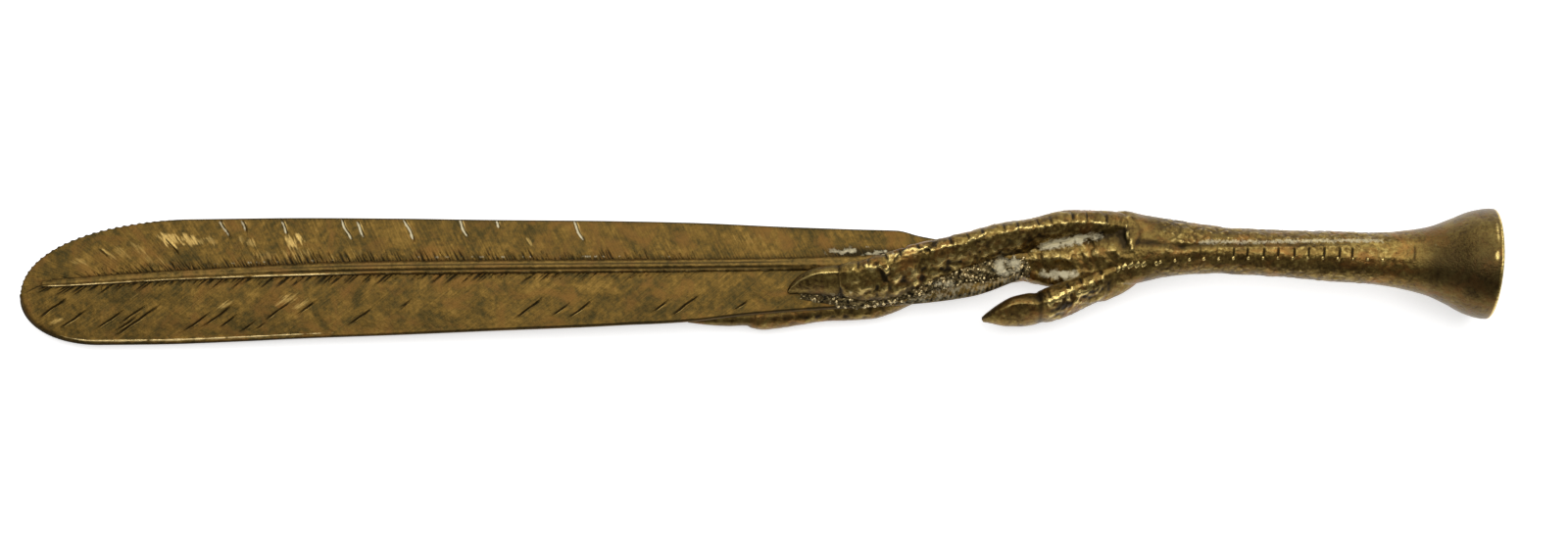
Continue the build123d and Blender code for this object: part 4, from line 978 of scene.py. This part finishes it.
for name, toe in toes.items():
    rings, run, turn = toe["rings"], toe["run"][:, None], toe["turn"]
    is_front, is_hind = name == "front_toe", name == "hind_toe"
    crested = is_front or is_hind
    uneven = 1.0 if crested else 0.4
    seed = 41 + len(name)
    lumps, knobs, pocks = (casting_noise(rings, size, seed + n) for n, size in enumerate((2.0, 1.1, 0.5)))
    wander, breaks = (
        casting_noise(np.repeat(run / size, 3, 1), 1.0, seed + n)[:, None] for size, n in ((2.6, 30), (1.3, 32))
    )
    near = [near_limb(rings, limb) for other, limb in toes.items() if other != name]
    crease = np.max([np.exp(-np.clip(distance, 0, None) / 0.5) for distance in near], 0)
    flesh = kept((run[-1] - CLAW_LENGTH[name] - run) / 1.5)
    root = kept((run - 4) / 5)
    folds = hump(np.sin(np.pi * run / 2.9 + 0.4 * np.sin(run)), 0, 0.16)
    crest_at = 1.54 + 0.16 * wander * flesh
    if is_front:
        crest_at = crest_at + np.interp(toe["core"][:, :1], FOLD_X, FOLD_SHIFT)
    crest = hump(turn, crest_at, 0.17 if is_hind else 0.07) * crested
    scales = hump(turn, 1.2, 0.5) * flesh
    flank, underside_shade = hump(turn, 2.3, 0.5), hump(turn, 3.1, 0.5, 4)
    lift = (0.13 + 0.2 * breaks * flesh) * crest - 0.22 * folds * scales * uneven + 0.03 * lumps * (1 - flesh)
    lift += uneven * flesh * (0.10 * lumps + 0.15 * (lumps + knobs) * flank + 0.07 * pocks)
    rings = rings + outward(rings) * (lift * root)[..., None]
    curved = bulge(rings, 3)

    # steps where the skin folds, and facets worn flat, rubbed bright and carrying painted highlights
    cuticle = hump(rings[..., 0], CUTICLE_X[name], 0.5) if crested else 0.0
    on_face = rings[..., 2] > 1
    step = facets = below_crest_shade = brow = np.zeros(rings.shape[:2])
    if is_front:
        step = along_line(rings, (148.2, -0.4), (150.2, -3.4), 0.4)
        step = step + 0.8 * along_line(rings, (151.7, 0.2), (153.2, 2.6), 0.32)
        step = (step + 0.8 * along_line(rings, (157.0, 1.8), (158.6, 3.6), 0.32)) * on_face
        facets = 0.8 * along_line(rings, (153.6, -4.6), (157.0, -3.4), 0.5) * kept(0.4 + 2 * knobs)
        facets = facets + 0.8 * along_line(rings, (147.3, -1.0), (147.7, -1.3), 0.5)
        facets = facets + 0.3 * along_line(rings, (150.5, 0.8), (156.5, 2.6), 0.7)
        # painted shade on the brow, the side above the crest
        brow = hump(turn, 1.05, 0.4) * (0.42 - 0.12 * flesh)
    if is_hind:
        facets = 1.2 * along_line(rings, (177.9, -7.0), (185.5, -4.5), 0.36) * kept(0.75 - 2.2 * breaks) * on_face
        # painted shade in a band below the hind toe's crest and on its brow
        below_crest_shade = (0.42 * hump(turn, 2.15, 0.3) + 0.3 * hump(turn, 1.0, 0.3)) * flesh
        # painted shade on the hind toe's brow, most on its claw
        brow = hump(turn, 1.05, 0.4) * (0.45 - 0.4 * flesh)
    rings = rings + outward(rings) * (0.14 * facets - 0.35 * step)[..., None]

    smoothed = 3 * uneven * (1 - cuticle) * np.where(rings[..., 0] < 150, 0.4, 1)
    # painted highlight in dashes along the crest and on the facets, over metal rubbed bare there
    glint = kept(0.25 + 2.2 * breaks * flesh + (0.3 if is_front else -0.25) * (1 - flesh))
    worn = 0.95 * crest * glint + facets + smoothed * np.clip(curved, 0, 0.1)
    worn += flank * (0.08 + 0.4 * kept(knobs) * crested * flesh)
    # painted shade under the front toe, and lightly over the scales beside its crest
    grime_and_shade = 0.5 * folds * scales * uneven - 2 * uneven * curved + 0.3 * crease + 0.55 * underside_shade * is_front
    grime_and_shade = grime_and_shade - 0.9 * knobs * flank * flesh + 0.6 * step + 0.15 * (1 - flesh) + 0.12 * scales
    grime_and_shade += below_crest_shade + 0.4 * cuticle + brow + (0.0 if crested else 0.2)
    ankle_shade = 0.4 * along_line(rings, *ANKLE_SHADE_LINE, 1.4) * (rings[..., 2] > 0)
    toe_marks = {"worn": kept(worn) * root, "grime_and_shade": kept(grime_and_shade) * root + ankle_shade, "residue": dried_flux(rings)}
    piece = skin_piece(name + "_skin", rings, foot_patina, toe_marks)
    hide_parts(name)
    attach(piece, "root")

# Braze bed: alloy run along the front toe where it meets the feather, left rough as it set. A lumpy ribbon carries
# hundreds of grains, with pale flux dried between them.

BRAZE_STATIONS = (
    (174.5, 0.2, 0.3, 4.6, 2.0, 0), (170.0, -0.2, 0.75, 4.6, 2.1, 0), (166.0, -0.5, 1.0, 4.8, 2.6, 0),
    (161.5, -1.7, 1.0, 4.2, 2.5, 0), (157.5, -3.1, 0.95, 3.4, 2.2, 0), (152.0, -4.9, 0.85, 3.0, 1.6, 0),
    (145.0, -5.9, 0.80, 2.9, 1.3, 0), (140.0, -5.7, 0.80, 2.4, 1.2, 0), (135.5, -5.3, 0.80, 1.2, 0.9, 0),
)
braze = limb_rings(BRAZE_STATIONS, step=0.25, around=64)
braze_rough = 0.22 * casting_noise(braze["rings"], 1.3, 51) + 0.16 * casting_noise(braze["rings"], 0.5, 53)
bed_rings = braze["rings"] + outward(braze["rings"]) * braze_rough[..., None]
bed_curve = bulge(bed_rings, 2)
braze_finish = aged_brass(
    "braze_alloy",
    tones=(
        (0.34, 0.030, 0.022, 0.009), (0.46, 0.075, 0.055, 0.020),
        (0.58, 0.160, 0.116, 0.045), (0.70, 0.340, 0.260, 0.110),
    ),
    stain=(0.150, 0.095, 0.034), gold=(0.86, 0.68, 0.35), dark=(0.011, 0.008, 0.004),
    matte=0.34, polish=0.20, cloud=700.0, pitted=0.7,
)
bed = skin_piece(
    "braze_ribbon",
    bed_rings,
    braze_finish,
    {
        "worn": np.clip(4 * bed_curve, 0, 0.9),
        "grime_and_shade": kept(-10 * bed_curve),
        "residue": dried_flux(bed_rings),
    },
)


def grain_tree():
    """Grains of alloy scattered over a bed and kept with it."""
    sizes = {"Float": ("Density", "Smallest", "Largest"), "Int": ("Seed",), "Material": ("Finish",)}
    tree, given = empty_tree("braze_grain", "Bed", sizes, "Grained")
    spots = {"Mesh": given["Bed"], "Density": given["Density"], "Seed": given["Seed"]}
    spots = add_node(tree, "GeometryNodeDistributePointsOnFaces", spots).outputs
    grain = node_out(tree, "GeometryNodeMeshIcoSphere", {"Radius": 1.0, "Subdivisions": 2})
    size = {2: given["Smallest"], 3: given["Largest"], "Seed": given["Seed"]}
    size = add_node(tree, "FunctionNodeRandomValue", size).outputs[1]
    bare_and_highlight = add_node(tree, "FunctionNodeRandomValue", {2: -0.9, 3: 1.9, "Seed": 9}).outputs[1]
    marked = {"Geometry": spots["Points"], "Name": "worn", "Value": bare_and_highlight}
    marked = node_out(tree, "GeometryNodeStoreNamedAttribute", marked)
    grains = {"Points": marked, "Instance": grain, "Rotation": spots["Rotation"], "Scale": size}
    grains = node_out(tree, "GeometryNodeInstanceOnPoints", grains)
    both = add_node(tree, "GeometryNodeJoinGeometry")
    tree.links.new(grains, both.inputs[0])
    tree.links.new(given["Bed"], both.inputs[0])
    grown = node_out(tree, "GeometryNodeRealizeInstances", {0: both.outputs[0]})
    grown = node_out(tree, "GeometryNodeSetShadeSmooth", {0: grown})
    grown = node_out(tree, "GeometryNodeSetMaterial", {"Geometry": grown, "Material": given["Finish"]})
    add_node(tree, "NodeGroupOutput", {0: grown})
    return tree


bed = grown_piece(
    "braze_bed_grained", bed, grain_tree(),
    {"Density": 2.2e6, "Smallest": 0.00010, "Largest": 0.00034, "Seed": 4, "Finish": braze_finish},
)
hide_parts("braze_bed")
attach(bed, "root")

# Desk, lights and camera: a white desk under a broad soft light, a second soft light from the far side that draws
# the bright lines on the crests, and the camera nearly overhead.

desk_mesh = bpy.data.meshes.new("desk")
desk_mesh.from_pydata([(-1.6, -1.6, 0), (1.6, -1.6, 0), (1.6, 1.6, 0), (-1.6, 1.6, 0)], [], [(0, 1, 2, 3)])
desk = bpy.data.objects.new("desk", desk_mesh)
bpy.context.scene.collection.objects.link(desk)
desk_white = bpy.data.materials.new("desk_white")
desk_white.use_nodes = True
tree = desk_white.node_tree
tree.nodes.clear()
paper = node_out(tree, "ShaderNodeBsdfDiffuse", {"Color": (0.86, 0.86, 0.86, 1)})
ray = add_node(tree, "ShaderNodeLightPath").outputs
seen = ray["Is Camera Ray"]
for other in ("Is Glossy Ray", "Is Transmission Ray"):
    seen = node_out(tree, "ShaderNodeMath", {0: seen, 1: ray[other]}, operation="MAXIMUM")
seen = node_out(tree, "ShaderNodeMath", {0: seen, 1: 0.6}, operation="MULTIPLY")
glow = node_out(tree, "ShaderNodeEmission", {"Color": (1, 1, 1, 1), "Strength": seen})
both = node_out(tree, "ShaderNodeAddShader", {0: paper, 1: glow})
add_node(tree, "ShaderNodeOutputMaterial", {"Surface": both})
desk_mesh.materials.append(desk_white)

world = bpy.data.worlds.new("studio")
world.use_nodes = True
world.node_tree.nodes["Background"].inputs["Color"].default_value = (1.0, 1.0, 1.0, 1)
world.node_tree.nodes["Background"].inputs["Strength"].default_value = 0.18
bpy.context.scene.world = world

for name, place, aim, breadth, depth, watts in (
    ("overhead_light", (0.0, 0.14, 0.90), (0, 0.02, 0), 1.25, 0.5, 5.6),
    ("far_light", (0.05, 0.75, 0.50), (0, 0, 0), 1.0, 0.35, 3.6),
):
    light = bpy.data.lights.new(name, "AREA")
    light.shape, light.size, light.size_y, light.energy = "RECTANGLE", breadth, depth, watts
    lamp = bpy.data.objects.new(name, light)
    lamp.location = place
    lamp.rotation_euler = (Vector(aim) - Vector(place)).to_track_quat("-Z", "Y").to_euler()
    bpy.context.scene.collection.objects.link(lamp)

lens = bpy.data.cameras.new("camera")
lens.sensor_width, lens.lens = 36.0, 59.45
lens.clip_start = 0.01
camera = bpy.data.objects.new("camera", lens)
camera.location = (0.00548, -0.04037, 0.450)
camera.rotation_euler = (Vector((0.00548, 0.00131, 0)) - camera.location).to_track_quat("-Z", "Y").to_euler()
bpy.context.scene.collection.objects.link(camera)
bpy.context.scene.camera = camera
bpy.context.scene.view_settings.view_transform = "Standard"
